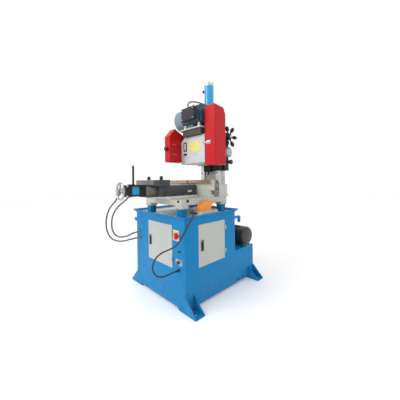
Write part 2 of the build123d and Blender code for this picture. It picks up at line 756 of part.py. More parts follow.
def rack_outline():
    """Rack teeth on the rear face, with a space opposite the pinion's centre."""
    points = [(keeper_front, carriage_bottom), (rack_root, carriage_bottom)]
    half_tooth = rack_pitch / 4 - backlash / 4
    for i in range(rack_count):
        middle = rack_low + (i + 0.5) * rack_pitch
        at_root = half_tooth + 1.25 * gear_module * tan(pressure)
        at_tip = half_tooth - gear_module * tan(pressure)
        tip = rack_root + 2.25 * gear_module
        points += [(rack_root, middle - at_root), (tip, middle - at_tip), (tip, middle + at_tip),
                   (rack_root, middle + at_root)]
    rack_end = rack_low + (rack_count + 0.5) * rack_pitch
    return points + [(rack_root, rack_end), (keeper_front, rack_end)]


with BuildPart() as keeper_plates:
    block((left_cheek[0], way_spans[0][0] + keeper_reach), (keeper_front, keeper_front + keeper_thick),
          carriage_z)
    side_plate(rack_outline(), (way_spans[1][1] - keeper_reach, right_cheek[1]))
save("keeper_plates", keeper_plates)

# Depth stop: a dark block under the carriage with its stop screw, and an arm to a wiper round the right way
stop_bottom = carriage_bottom - stop_height
wiper_z = (carriage_bottom - wiper_height, carriage_bottom)
with BuildPart() as depth_stop:
    block((column_x - stop_left, column_x + stop_right), (0, slide_back), (stop_bottom, carriage_bottom))
    chamfer(depth_stop.faces().sort_by(Axis.Z)[0].edges(), stop_chamfer)
    bar_z(stop_pin_radius, column_x, slide_back / 2, (stop_bottom - stop_pin_length, stop_bottom))
    block((column_x, right_cheek[1]), (wing_front, slide_back),
          (carriage_bottom - stop_shelf, carriage_bottom))
    block((column_x + column_half / 2, right_cheek[1]), (wing_front, slide_back), wiper_z)
    block(right_cheek, (wing_front, keeper_front + keeper_thick), wiper_z)
save("depth_stop", depth_stop)

# Feed housing on the column's right side, with its pinion shaft and capstan
housing_left = column_x + box_half
housing_right = housing_left + housing_width
housing_front = keeper_front + keeper_thick + 3
housing_back = housing_front + housing_depth
housing_mid = (housing_front + housing_back) / 2
rack_left = way_spans[1][1] - keeper_reach
pinion_span = (rack_left + 4, rack_left + 4 + pinion_width)
feed_boss_end = housing_right + feed_boss_length
with BuildPart() as feed_housing:
    block((housing_left, housing_right), (housing_front, housing_back), (housing_bottom, housing_top))
    fillet(feed_housing.edges().filter_by(Axis.X), 10)
    block((housing_left - 1, housing_right - housing_wall),
          (housing_front + housing_wall, housing_back - housing_wall),
          (housing_bottom + housing_wall, housing_top - housing_wall), Mode.SUBTRACT)
    block((housing_left - 1, pinion_span[1] + 3), (housing_front - 1, housing_front + housing_wall + 1),
          (pinion_z - pinion_radius - 6, pinion_z + pinion_radius + 6), Mode.SUBTRACT)
    bar_x(feed_boss_radius, (housing_right - 1, feed_boss_end), pinion_y, pinion_z)
    bar_x(feed_shaft_radius + shaft_gap, (housing_right - housing_wall - 1, feed_boss_end + 1),
          pinion_y, pinion_z, Mode.SUBTRACT)
    bar_x(clutch_boss_radius, (housing_right - 1, housing_right + clutch_boss_length),
          housing_mid, clutch_boss_z)
    fillet(feed_housing.faces().sort_by(Axis.X)[-1].edges(), 4)
    bar_x(knob_spindle_radius + shaft_gap, (housing_right - housing_wall - 1, housing_right + 1), housing_mid,
          lock_knob_z, Mode.SUBTRACT)
save("feed_housing", feed_housing)


def gear_outline(teeth, module):
    """Points of a spur gear with involute flanks, each flank in three steps."""
    pitch_radius = teeth * module / 2
    base_radius = pitch_radius * cos(pressure)
    root_radius = pitch_radius - 1.25 * module
    tip_radius = pitch_radius + module
    half_tooth = pi / (2 * teeth) - backlash / (4 * pitch_radius)
    involute_at_pitch = tan(pressure) - pressure
    flank = []
    for step in range(4):
        radius = base_radius + (tip_radius - base_radius) * step / 3
        roll = sqrt(max((radius / base_radius) ** 2 - 1, 0))
        flank.append((radius, half_tooth + involute_at_pitch - (roll - atan(roll))))
    flank = [(root_radius, flank[0][1])] + flank
    points = []
    for tooth in range(teeth):
        middle = 2 * pi * tooth / teeth
        points += [(r * cos(middle - a), r * sin(middle - a)) for r, a in flank]
        points += [(r * cos(middle + a), r * sin(middle + a)) for r, a in reversed(flank)]
    return points


with BuildPart() as feed_pinion:
    teeth = [(pinion_y + y, pinion_z + z) for y, z in gear_outline(pinion_teeth, gear_module)]
    side_plate(teeth, pinion_span)
    bar_x(feed_shaft_radius, (housing_left + 2, feed_boss_end + capstan_hub_length), pinion_y, pinion_z)
save("feed_pinion", feed_pinion)

capstan_left = feed_boss_end + slide_gap
capstan_right = capstan_left + capstan_hub_length
capstan_middle = ((capstan_left + capstan_right) / 2, pinion_y, pinion_z)
arm_plane = Plane(origin=capstan_middle, x_dir=(0, 1, 0), z_dir=(1, 0, 0))
arm_length = capstan_reach / cos(radians(capstan_rake))
grip_middle = arm_length - capstan_grip_length / 2
with BuildPart() as capstan:
    bar_x(capstan_hub_radius, (capstan_left, capstan_right), pinion_y, pinion_z)
    fillet(capstan.faces().sort_by(Axis.X)[-1].edges(), 4)
    oval = [(grip_middle - cos(a) * capstan_grip_length / 2, sin(a) * capstan_grip_radius)
            for a in (i * pi / 12 for i in range(3, 12))]
    with BuildSketch(arm_plane) as arm_profile:
        with BuildLine():
            Polyline((capstan_hub_radius - 8, 0), (capstan_hub_radius - 8, capstan_arm_radius),
                     (oval[0][0], capstan_arm_radius), *oval, (arm_length, 0), close=True)
        make_face()
    flat_arm = revolve(arm_profile.sketch, axis=Axis(capstan_middle, (0, 1, 0)), mode=Mode.PRIVATE)
    arm = flat_arm.rotate(Axis(capstan_middle, (0, 0, 1)), -capstan_rake)
    for i in range(capstan_arms):
        add(arm.rotate(Axis(capstan_middle, (1, 0, 0)), i * 360 / capstan_arms))
    bar_x(feed_shaft_radius + shaft_gap, (capstan_left - 1, capstan_right + 1), pinion_y, pinion_z,
          Mode.SUBTRACT)
save("capstan", capstan)

with BuildPart() as head_lock_knob:
    lock_face = housing_right + lock_knob_stem
    lock_plane = Plane(origin=(lock_face, housing_mid, lock_knob_z), x_dir=(0, 1, 0), z_dir=(1, 0, 0))
    with BuildSketch(lock_plane) as lobes:
        Circle(lock_knob_radius * 0.8)
        with PolarLocations(lock_knob_radius * 0.72, 5):
            Circle(lock_knob_radius * 0.3)
    extrude(lobes.sketch, amount=lock_knob_thick)
    bar_x(knob_spindle_radius, (housing_right - housing_wall, lock_face + 1), housing_mid, lock_knob_z)
    bar_x(2 * knob_spindle_radius, (housing_right + slide_gap, lock_face + 1), housing_mid, lock_knob_z)
save("head_lock_knob", head_lock_knob)

# Gearbox: one closed housing with bores for the spindle and the input shaft
with BuildPart() as gearbox:
    outline = [(gearbox_left, gearbox_bottom), (gearbox_right, gearbox_bottom), (gearbox_right, gearbox_top),
               (gearbox_left + 1.5 * gearbox_chamfer, gearbox_top),
               (gearbox_left, gearbox_top - gearbox_chamfer)]
    front_plate(outline, (gearbox_front, carriage_front))
    fillet(gearbox.faces().sort_by(Axis.Y)[0].edges(), 8)
    bar_x(spindle_radius + shaft_gap, (gearbox_left - 1, gearbox_left + spindle_depth), drive_y, spindle_z,
          Mode.SUBTRACT)
    bar_x(input_radius + shaft_gap, (gearbox_right - spindle_depth, gearbox_right + 1), drive_y, spindle_z,
          Mode.SUBTRACT)
save("gearbox", gearbox)

with BuildPart() as spindle:
    bar_x(spindle_radius, (-2 * arbor_flange_thick, gearbox_left + spindle_depth - 2), drive_y, spindle_z)
    bar_x(arbor_flange_radius, (0, arbor_flange_thick), drive_y, spindle_z)
    bar_x(spindle_radius + 8, (arbor_flange_thick, gearbox_left - slide_gap), drive_y, spindle_z)
    bar_x(arbor_flange_radius, (-arbor_flange_thick, 0), drive_y, spindle_z)
    bar_x(arbor_flange_radius - 8, (-0.6, 0.6), drive_y, spindle_z)
    with BuildSketch(Plane.YZ.offset(-2 * arbor_flange_thick - 4)) as arbor_nut:
        with Locations((drive_y, spindle_z)):
            RegularPolygon(26, 6)
    extrude(arbor_nut.sketch, amount=arbor_flange_thick + 4)
save("spindle", spindle)

# Blade guard: a bent sheet shell, open at the bottom
guard_peak = (guard_front + guard_peak_back, guard_bottom + guard_height)
guard_knob_z = guard_bottom + guard_knob_up
guard_outline = [(guard_front, guard_bottom), (guard_front, guard_bottom + guard_front_height), guard_peak,
                 (guard_back, guard_peak[1] + guard_slope * (guard_back - guard_peak[0])),
                 (guard_back, guard_bottom)]
with BuildPart() as blade_guard:
    side_plate(guard_outline, (-guard_half, guard_half))
    guard_rims = blade_guard.faces().filter_by(Axis.X).edges()
    fillet(guard_rims.filter_by(lambda edge: edge.center().Z > guard_bottom + 1), guard_corner)
    with BuildSketch(Plane.YZ.offset(-guard_half + guard_sheet)) as hollow:
        with BuildLine():
            Polyline(*guard_outline, close=True)
        make_face()
        offset(amount=-guard_sheet)
    extrude(hollow.sketch, amount=2 * (guard_half - guard_sheet), mode=Mode.SUBTRACT)
    block((-guard_half + guard_sheet, guard_half - guard_sheet),
          (guard_front + guard_sheet, guard_back - guard_sheet),
          (guard_bottom - 1, guard_bottom + 2 * guard_sheet), Mode.SUBTRACT)
    bar_x(spindle_radius + 12, (guard_half - 2 * guard_sheet, guard_half + 1), drive_y, spindle_z,
          Mode.SUBTRACT)
    block((guard_half - 1, guard_half + 2), (guard_front + 26, guard_front + 67),
          (guard_bottom + 53, guard_bottom + 156))
    bar_y(knob_spindle_radius + shaft_gap, 0, (guard_front - 1, guard_front + 2 * guard_sheet), guard_knob_z,
          Mode.SUBTRACT)
save("blade_guard", blade_guard)

with BuildPart() as guard_knob:
    knob_plane = Plane(origin=(0, guard_front - slide_gap, guard_knob_z), x_dir=(1, 0, 0), z_dir=(0, -1, 0))
    with BuildSketch(knob_plane) as grip:
        Circle(guard_knob_radius * 0.86)
        with PolarLocations(guard_knob_radius * 0.78, 6):
            Circle(guard_knob_radius * 0.22)
    extrude(grip.sketch, amount=22)
    bar_y(knob_spindle_radius, 0, (guard_front - 2, guard_front + 2 * guard_sheet), guard_knob_z)
save("guard_knob", guard_knob)

# Belt drive: back plate, hinged cover, pulleys on their shafts and two belts
cover_outline = [(gearbox_front, cover_bottom), (gearbox_front, cover_top), (cover_back - 22, cover_top - 10),
                 (cover_back, cover_top - 61), (cover_back, cover_bottom)]
cover_hinge_x = cover_left + hinge_radius
cover_hinge_y = cover_back + cover_hinge_out
cover_hinge_z = (cover_bottom + 70, cover_top - 150)
back_plate = (gearbox_right, cover_left - slide_gap)
with BuildPart() as belt_cover_back:
    side_plate(cover_outline, back_plate)
    bar_x(input_radius + 6, (back_plate[0] - 1, back_plate[1] + 1), drive_y, spindle_z, Mode.SUBTRACT)
    bar_x(input_radius + 8, (back_plate[0] - 1, back_plate[1] + 1), drive_y, motor_z, Mode.SUBTRACT)
    for z in cover_hinge_z:
        block((back_plate[0], cover_hinge_x), (cover_back, cover_hinge_y), (z, z + hinge_height))
        block(back_plate, (cover_back - 4, cover_hinge_y), (z, z + hinge_height))
        bar_z(hinge_radius, cover_hinge_x, cover_hinge_y, (z, z + hinge_height))
        bar_z(hinge_pin_radius, cover_hinge_x, cover_hinge_y, (z + hinge_height, z + 2 * hinge_height))
save("belt_cover_back", belt_cover_back)

with BuildPart() as belt_space:
    with BuildSketch(Plane.YZ.offset(cover_left - 1)) as belt_room:
        with BuildLine():
            Polyline(*cover_outline, close=True)
        make_face()
        offset(amount=-cover_sheet)
    extrude(belt_room.sketch, amount=cover_right - cover_left + 1 - cover_sheet)
    fillet(belt_space.faces().sort_by(Axis.X)[-1].edges(), cover_corner - cover_sheet)

with BuildPart() as belt_cover:
    side_plate(cover_outline, (cover_left, cover_right))
    fillet(belt_cover.faces().sort_by(Axis.X)[-1].edges(), cover_corner)
    add(belt_space.part, mode=Mode.SUBTRACT)
    for z in cover_hinge_z:
        low = z + hinge_height + slide_gap
        block((cover_left, cover_left + 3), (cover_back - 1, cover_hinge_y), (low, low + hinge_height))
        bar_z(hinge_radius, cover_hinge_x, cover_hinge_y, (low, low + hinge_height))
        bar_z(hinge_pin_radius + shaft_gap, cover_hinge_x, cover_hinge_y, (low - 1, low + hinge_height + 1),
              Mode.SUBTRACT)
save("belt_cover", belt_cover)

groove_places = [pulley_left + pulley_width * share for share in (0.27, 0.73)]


def pulley(radius, shaft_radius, shaft, z):
    """A two-groove pulley on its shaft."""
    bar_x(radius, (pulley_left, pulley_left + pulley_width), drive_y, z)
    for middle in groove_places:
        with BuildSketch(Plane.XZ.offset(-drive_y)) as groove:
            with BuildLine():
                Polyline((middle - belt_width / 2 - 1, z + radius + 1),
                         (middle + belt_width / 2 + 1, z + radius + 1),
                         (middle + belt_width / 2 - 1.6, z + radius - belt_thick - 1),
                         (middle - belt_width / 2 + 1.6, z + radius - belt_thick - 1), close=True)
            make_face()
        revolve(groove.sketch, axis=Axis((0, drive_y, z), (1, 0, 0)), mode=Mode.SUBTRACT)
    bar_x(shaft_radius, shaft, drive_y, z)


with BuildPart() as input_pulley:
    pulley(input_pulley_radius, input_radius, (gearbox_right - spindle_depth + 2,
                                               pulley_left + pulley_width + 6), spindle_z)
save("input_pulley", input_pulley)

with BuildPart() as motor_pulley:
    pulley(motor_pulley_radius, input_radius, (motor_right - spindle_depth + 2,
                                               pulley_left + pulley_width + 6), motor_z)
save("motor_pulley", motor_pulley)


def belt_loop(grow):
    """The outline of a belt round both pulleys, grown past the grooves' bottoms."""
    small = motor_pulley_radius - belt_thick + grow
    large = input_pulley_radius - belt_thick + grow
    with Locations((drive_y, motor_z)):
        Circle(small)
    with Locations((drive_y, spindle_z)):
        Circle(large)
    lean = (large - small) / (motor_z - spindle_z)
    rise = sqrt(1 - lean * lean)
    with BuildLine() as sides:
        Polyline((drive_y - small * rise, motor_z + small * lean),
                 (drive_y + small * rise, motor_z + small * lean),
                 (drive_y + large * rise, spindle_z + large * lean),
                 (drive_y - large * rise, spindle_z + large * lean), close=True)
    make_face(sides.edges())


with BuildPart() as drive_belts:
    for middle in groove_places:
        with BuildSketch(Plane.YZ.offset(middle - belt_width / 2 + 2)) as outer:
            belt_loop(belt_thick)
        extrude(outer.sketch, amount=belt_width - 4)
        with BuildSketch(Plane.YZ.offset(middle - belt_width / 2)) as inner:
            belt_loop(slide_gap)
        extrude(inner.sketch, amount=belt_width, mode=Mode.SUBTRACT)
save("drive_belts", drive_belts)

# Main motor on its tension plate
motor_plate_top = motor_plate_bottom + motor_plate_thick
motor_bottom = motor_z - motor_radius
with BuildPart() as motor_plate:
    block((motor_plate_left, gearbox_right - 4), (motor_plate_front, motor_plate_back),
          (motor_plate_bottom, motor_plate_top))
    block((motor_plate_left + motor_base_inset, gearbox_right - motor_base_inset),
          (motor_plate_front + motor_base_inset, motor_plate_back - motor_base_inset),
          (gearbox_top, motor_plate_bottom))
save("motor_plate", motor_plate)

with BuildPart() as main_motor:
    bar_x(motor_radius, (motor_left, motor_right - 24), drive_y, motor_z)
    bar_x(motor_radius * 0.86, (motor_right - 25, motor_right), drive_y, motor_z)
    fins = Plane(origin=(0, drive_y, motor_z), x_dir=(0, 1, 0), z_dir=(1, 0, 0))
    with BuildSketch(fins.offset(motor_left + 6)) as fin_ring:
        with PolarLocations(motor_radius + motor_fin / 2 - 1, 30):
            Rectangle(motor_fin + 2, 3.4)
    extrude(fin_ring.sketch, amount=motor_right - motor_left - 42)
    for side in (-1, 1):
        foot = sorted((drive_y + side * 55, drive_y + side * 96))
        block((motor_left + 60, motor_right - 70), foot, (motor_plate_top, motor_plate_top + 14))
        web = sorted((drive_y + side * 58, drive_y + side * 70))
        block((motor_left + 70, motor_right - 80), web, (motor_plate_top, motor_z - 40))
    block((terminal_left + 8, terminal_right - 8),
          (drive_y - motor_radius - 12, drive_y - motor_radius * 0.6),
          (terminal_bottom + 10, terminal_top - 10))
    bar_x(input_radius + shaft_gap, (motor_right - spindle_depth, motor_right + 1), drive_y, motor_z,
          Mode.SUBTRACT)
save("main_motor", main_motor)

with BuildPart() as fan_cover:
    length = motor_left - fan_cover_left
    with BuildSketch(Plane.XZ.offset(-drive_y)) as cover_profile:
        with BuildLine():
            Polyline((fan_cover_left, motor_z), (fan_cover_left, motor_z + motor_radius * 0.7),
                     (fan_cover_left + 0.14 * length, motor_z + motor_radius),
                     (motor_left, motor_z + motor_radius + fan_lip),
                     (motor_left, motor_z + motor_radius + fan_lip - fan_sheet),
                     (fan_cover_left + 0.16 * length, motor_z + motor_radius - fan_sheet),
                     (fan_cover_left + fan_sheet, motor_z + motor_radius * 0.68),
                     (fan_cover_left + fan_sheet, motor_z), close=True)
        make_face()
    revolve(cover_profile.sketch, axis=Axis((0, drive_y, motor_z), (1, 0, 0)))
    grille = Plane(origin=(fan_cover_left, drive_y, motor_z), x_dir=(0, 1, 0), z_dir=(1, 0, 0))
    with BuildSketch(grille.offset(-1)) as vents:
        with PolarLocations(motor_radius * 0.45, 12):
            SlotOverall(motor_radius * 0.34, vent_width)
    extrude(vents.sketch, amount=2 * fan_sheet, mode=Mode.SUBTRACT)
save("fan_cover", fan_cover)

with BuildPart() as terminal_box:
    terminal_back = drive_y - motor_radius - 12
    block((terminal_left, terminal_right), (terminal_front + 14, terminal_back),
          (terminal_bottom, terminal_top))
    block((terminal_left - 3, terminal_right + 3), (terminal_front, terminal_front + 14),
          (terminal_bottom - 3, terminal_top + 3))
    chamfer(terminal_box.faces().sort_by(Axis.Y)[0].edges(), 6)
    gland_x = terminal_left + 56
    gland_y = (terminal_front + 14 + terminal_back) / 2
    bar_z(motor_cable_radius + 4, gland_x, gland_y, (terminal_top - 1, terminal_top + 8))
save("terminal_box", terminal_box)

# Hydraulic pump unit on the oil tank
pump_left = half_width - pump_motor_length
with BuildPart() as hydraulic_motor:
    cowl_left = half_width - pump_cowl_length
    bar_x(pump_motor_radius - pump_body_inset, (pump_left, cowl_left + pump_cowl_lap),
          pump_motor_y, pump_motor_z)
    motor_ring = Plane(origin=(pump_left + pump_fin_start, pump_motor_y, pump_motor_z),
                       x_dir=(0, 1, 0), z_dir=(1, 0, 0))
    with BuildSketch(motor_ring) as pump_fins:
        with PolarLocations(pump_motor_radius - pump_fin_height / 2, 26):
            Rectangle(pump_fin_height, pump_fin_thick)
    extrude(pump_fins.sketch, amount=cowl_left - pump_cowl_lap - pump_left - pump_fin_start)
    with BuildSketch(Plane.XZ.offset(-pump_motor_y)) as cowl:
        with BuildLine():
            Polyline((cowl_left, pump_motor_z),
                     (cowl_left, pump_motor_z + pump_motor_radius + pump_cowl_flare),
                     (half_width - pump_cowl_taper, pump_motor_z + pump_motor_radius),
                     (half_width, pump_motor_z + pump_motor_radius * 0.62),
                     (half_width, pump_motor_z), close=True)
        make_face()
    revolve(cowl.sketch, axis=Axis((0, pump_motor_y, pump_motor_z), (1, 0, 0)))
    for side in (-1, 1):
        pump_foot_x = (pump_left + pump_foot_near, half_width - pump_foot_far)
        pump_foot_y = sorted((pump_motor_y + side * pump_foot_in, pump_motor_y + side * pump_foot_out))
        block(pump_foot_x, pump_foot_y, (tank_top, tank_top + pump_foot_thick))
        pump_leg_x = (pump_foot_x[0] + pump_leg_inset, pump_foot_x[1] - pump_leg_inset)
        pump_leg_y = sorted((pump_motor_y + side * pump_leg_in,
                             pump_motor_y + side * (pump_leg_in + pump_leg_thick)))
        block(pump_leg_x, pump_leg_y, (tank_top, pump_motor_z - pump_leg_drop))
    box_left = pump_left + pump_box_start
    motor_crown = pump_motor_z + pump_motor_radius
    block((box_left, box_left + pump_box_length),
          (pump_motor_y - pump_box_half, pump_motor_y + pump_box_half),
          (motor_crown - pump_box_sink, motor_crown + pump_box_up))
save("hydraulic_motor", hydraulic_motor)

with BuildPart() as hydraulic_pump:
    bell_right = pump_left - pump_flange
    bar_x(pump_motor_radius * 0.8, (bell_right, pump_left), pump_motor_y, pump_motor_z)
    with Locations(Location((bell_right - pump_bell / 2, pump_motor_y, pump_motor_z), (0, -90, 0))):
        Cone(pump_motor_radius * 0.72, pump_motor_radius * 0.5, pump_bell)
    pump_right = bell_right - pump_bell + pump_bell_lap
    block((pump_right - pump_body_length, pump_right),
          (pump_motor_y - pump_body_half, pump_motor_y + pump_body_half),
          (pump_motor_z - pump_body_up, pump_motor_z + pump_body_up))
    fillet(hydraulic_pump.edges().filter_by(Axis.X), pump_body_corner)
    bar_z(suction_radius, pump_right - pump_body_length / 2, pump_motor_y,
          (tank_top, pump_motor_z - pump_body_up + pump_bell_lap))
save("hydraulic_pump", hydraulic_pump)

# Doors on lift-off hinges, with paddle latches
front_hinge_x = front_door_edges[1] + 3
front_hinge_y = front - hinge_out
side_hinge_y = side_door_edges[1] + 3
side_hinge_x = half_width + hinge_out
hinge_heights = (door_edges[0] + hinge_inset - hinge_height, door_edges[1] - hinge_inset - hinge_height)
with BuildPart() as door_hinges:
    for z in hinge_heights:
        span = (z, z + hinge_height)
        block((front_hinge_x, front_hinge_x + hinge_leaf), (front - 3, front), span)
        bar_z(hinge_radius, front_hinge_x, front_hinge_y, span)
        block((front_hinge_x - 2, front_hinge_x + 3), (front_hinge_y, front - 1), span)
        bar_z(hinge_pin_radius, front_hinge_x, front_hinge_y, (z + hinge_height, z + 2 * hinge_height))
        block((half_width, half_width + 3), (side_hinge_y, side_hinge_y + hinge_leaf), span)
        bar_z(hinge_radius, side_hinge_x, side_hinge_y, span)
        block((half_width + 1, side_hinge_x), (side_hinge_y - 2, side_hinge_y + 3), span)
        bar_z(hinge_pin_radius, side_hinge_x, side_hinge_y, (z + hinge_height, z + 2 * hinge_height))
save("door_hinges", door_hinges)

latch_axis_z = latch_z + latch_length / 2 - latch_thick / 2
latch_out = door_proud + seat_gap + latch_thick / 2
ear_height = latch_thick / 2
front_latch_x = front_door_edges[0] + latch_inset
side_latch_y = side_door_edges[0] + latch_inset
door_inner_z = (door_edges[0] + door_gap, door_edges[1] - door_gap)
with BuildPart() as front_door:
    door_x = (front_door_edges[0] + door_gap, front_door_edges[1] - door_gap)
    block(door_x, (front - door_proud, front + door_fold), door_inner_z)
    block((door_x[0] + door_sheet, door_x[1] - door_sheet),
          (front - door_proud + door_sheet, front + door_fold + 1),
          (door_inner_z[0] + door_sheet, door_inner_z[1] - door_sheet), Mode.SUBTRACT)
    for z in hinge_heights:
        low = z + hinge_height + slide_gap
        block((front_hinge_x - hinge_leaf, front_hinge_x), (front - door_proud - 2, front - door_proud),
              (low, low + hinge_height))
        block((front_hinge_x - 4, front_hinge_x), (front_hinge_y, front - door_proud),
              (low, low + hinge_height))
        bar_z(hinge_radius, front_hinge_x, front_hinge_y, (low, low + hinge_height))
        bar_z(hinge_pin_radius + shaft_gap, front_hinge_x, front_hinge_y, (low - 1, low + hinge_height + 1),
              Mode.SUBTRACT)
    for side in (-1, 1):
        ear = sorted((front_latch_x + side * (latch_width / 2 + slide_gap),
                      front_latch_x + side * (latch_width / 2 + latch_ear)))
        block(ear, (front - latch_out - ear_height, front - door_proud),
              (latch_axis_z - ear_height, latch_axis_z + ear_height))
    bar_x(latch_pin_radius + shaft_gap, (front_latch_x - latch_width, front_latch_x + latch_width),
          front - latch_out, latch_axis_z, Mode.SUBTRACT)
save("front_door", front_door)

with BuildPart() as front_latch:
    paddle_y = (front - latch_out - latch_thick / 2, front - latch_out + latch_thick / 2)
    paddle_x = (front_latch_x - latch_width / 2, front_latch_x + latch_width / 2)
    block(paddle_x, paddle_y, (latch_axis_z - latch_length + latch_thick, latch_axis_z))
    bar_x(latch_thick / 2, paddle_x, front - latch_out, latch_axis_z)
    fillet(front_latch.edges().filter_by(Axis.Y).group_by(Axis.Z)[0], 5)
    bar_x(latch_pin_radius, (paddle_x[0] - latch_ear, paddle_x[1] + latch_ear), front - latch_out,
          latch_axis_z)
save("front_latch", front_latch)

with BuildPart() as side_door:
    door_y = (side_door_edges[0] + door_gap, side_door_edges[1] - door_gap)
    block((half_width - door_fold, half_width + door_proud), door_y, door_inner_z)
    block((half_width - door_fold - 1, half_width + door_proud - door_sheet),
          (door_y[0] + door_sheet, door_y[1] - door_sheet),
          (door_inner_z[0] + door_sheet, door_inner_z[1] - door_sheet), Mode.SUBTRACT)
    for z in hinge_heights:
        low = z + hinge_height + slide_gap
        block((half_width + door_proud, half_width + door_proud + 2),
              (side_hinge_y - hinge_leaf, side_hinge_y), (low, low + hinge_height))
        block((half_width + door_proud, side_hinge_x), (side_hinge_y - 4, side_hinge_y),
              (low, low + hinge_height))
        bar_z(hinge_radius, side_hinge_x, side_hinge_y, (low, low + hinge_height))
        bar_z(hinge_pin_radius + shaft_gap, side_hinge_x, side_hinge_y, (low - 1, low + hinge_height + 1),
              Mode.SUBTRACT)
    for side in (-1, 1):
        ear = sorted((side_latch_y + side * (latch_width / 2 + slide_gap),
                      side_latch_y + side * (latch_width / 2 + latch_ear)))
        block((half_width + door_proud, half_width + latch_out + ear_height), ear,
              (latch_axis_z - ear_height, latch_axis_z + ear_height))
    bar_y(latch_pin_radius + shaft_gap, half_width + latch_out,
          (side_latch_y - latch_width, side_latch_y + latch_width), latch_axis_z, Mode.SUBTRACT)
save("side_door", side_door)

with BuildPart() as side_latch:
    paddle_x = (half_width + latch_out - latch_thick / 2, half_width + latch_out + latch_thick / 2)
    paddle_y = (side_latch_y - latch_width / 2, side_latch_y + latch_width / 2)
    block(paddle_x, paddle_y, (latch_axis_z - latch_length + latch_thick, latch_axis_z))
    bar_y(latch_thick / 2, half_width + latch_out, paddle_y, latch_axis_z)
    fillet(side_latch.edges().filter_by(Axis.X).group_by(Axis.Z)[0], 5)
    bar_y(latch_pin_radius, half_width + latch_out, (paddle_y[0] - latch_ear, paddle_y[1] + latch_ear),
          latch_axis_z)
save("side_latch", side_latch)

# Front panel: isolator and selector plates with the pilot lamp, and their knobs
with BuildPart() as switch_plates:
    block((isolator_x - isolator_plate_width / 2, isolator_x + isolator_plate_width / 2),
          (front - plate_thick, front),
          (isolator_z - isolator_plate_height / 2, isolator_z + isolator_plate_height / 2))
    block((isolator_x - isolator_badge / 2, isolator_x + isolator_badge / 2),
          (front - 2 * plate_thick, front - plate_thick),
          (isolator_z - isolator_badge / 2, isolator_z + isolator_badge / 2))
    block((selector_x - selector_plate_width / 2, selector_x + selector_plate_width / 2),
          (front - plate_thick, front),
          (selector_z - selector_plate_height / 2, selector_z + selector_plate_height / 2))
    bar_y(knob_spindle_radius + shaft_gap, isolator_knob_x, (front - 3 * plate_thick, front + 1), isolator_z,
          Mode.SUBTRACT)
    bar_y(knob_spindle_radius + shaft_gap, selector_x, (front - 3 * plate_thick, front + 1), selector_z,
          Mode.SUBTRACT)
    bar_y(lamp_radius - 3, lamp_x, (front - 16, front), lamp_z)
    fillet(switch_plates.faces().sort_by(Axis.Y)[0].edges(), 5)
    bar_y(lamp_radius, lamp_x, (front - 6, front), lamp_z)
save("switch_plates", switch_plates)

with BuildPart() as isolator_knob:
    knob_y = front - 2 * plate_thick - slide_gap
    bar_y(isolator_knob_radius, isolator_knob_x, (knob_y - 8, knob_y), isolator_z)
    block((isolator_knob_x - 8, isolator_knob_x + 8), (knob_y - 26, knob_y - 7),
          (isolator_z - isolator_knob_radius - 4, isolator_z + isolator_knob_radius + 4))
    fillet(isolator_knob.faces().sort_by(Axis.Y)[0].edges(), 3)
    bar_y(knob_spindle_radius, isolator_knob_x, (knob_y - 1, front), isolator_z)
save("isolator_knob", isolator_knob)

with BuildPart() as selector_knob:
    knob_y = front - plate_thick - slide_gap
    bar_y(selector_knob_radius, selector_x, (knob_y - 10, knob_y), selector_z)
    block((selector_x - 4, selector_x + 4), (knob_y - 20, knob_y - 9),
          (selector_z - selector_knob_radius, selector_z + selector_knob_radius))
    fillet(selector_knob.faces().sort_by(Axis.Y)[0].edges(), 2)
    bar_y(knob_spindle_radius, selector_x, (knob_y - 1, front), selector_z)
save("selector_knob", selector_knob)

# Electrical panel inside the cabinet, on two folded feet
panel_y = front + panel_set_back
with BuildPart() as electrical_panel:
    block((front_door_edges[0], front_door_edges[1]), (panel_y, panel_y + sheet),
          (panel_bottom + sheet, door_edges[1]))
    block((front_door_edges[0], front_door_edges[1]), (panel_y, panel_y + panel_foot),
          (panel_bottom + sheet, panel_bottom + 2 * sheet))
    for row, (height, count) in enumerate(zip(row_heights, row_counts)):
        width = front_door_width * 0.86 / count
        base = door_edges[1] - rail_drop - row * rail_step
        for i in range(count):
            left = front_door_edges[0] + front_door_width * 0.07 + i * width
            row_front = panel_y - switchgear_depth + switchgear_step * row
            block((left, left + width - switchgear_gap), (row_front, panel_y), (base, base + height))
save("electrical_panel", electrical_panel)

# Foot pedal resting in the tray: base, hood and sprung treadle
pedal_left = casting_width / 2 + pedal_gap
pedal_right = pedal_left + pedal_width
pedal_back = pedal_front + pedal_length
pedal_mid = (pedal_left + pedal_right) / 2
base_top = tray_top + pedal_base_height
hood_top = base_top + pedal_hood_height
treadle_axis = (pedal_front + 34, base_top + 2 * treadle_boss)
with BuildPart() as pedal_base:
    block((pedal_left, pedal_right), (pedal_front, pedal_back), (tray_top, base_top))
    fillet(pedal_base.edges().filter_by(Axis.Z), 6)
    for side in (-1, 1):
        ear = sorted((pedal_mid + side * (treadle_half + slide_gap), pedal_mid + side * (treadle_half + 7)))
        block(ear, (treadle_axis[0] - treadle_boss, treadle_axis[0] + treadle_boss),
              (base_top - 1, treadle_axis[1] + treadle_boss))
        bar_x(treadle_pin + shaft_gap, (ear[0] - 1, ear[1] + 1), treadle_axis[0], treadle_axis[1],
              Mode.SUBTRACT)
save("pedal_base", pedal_base)

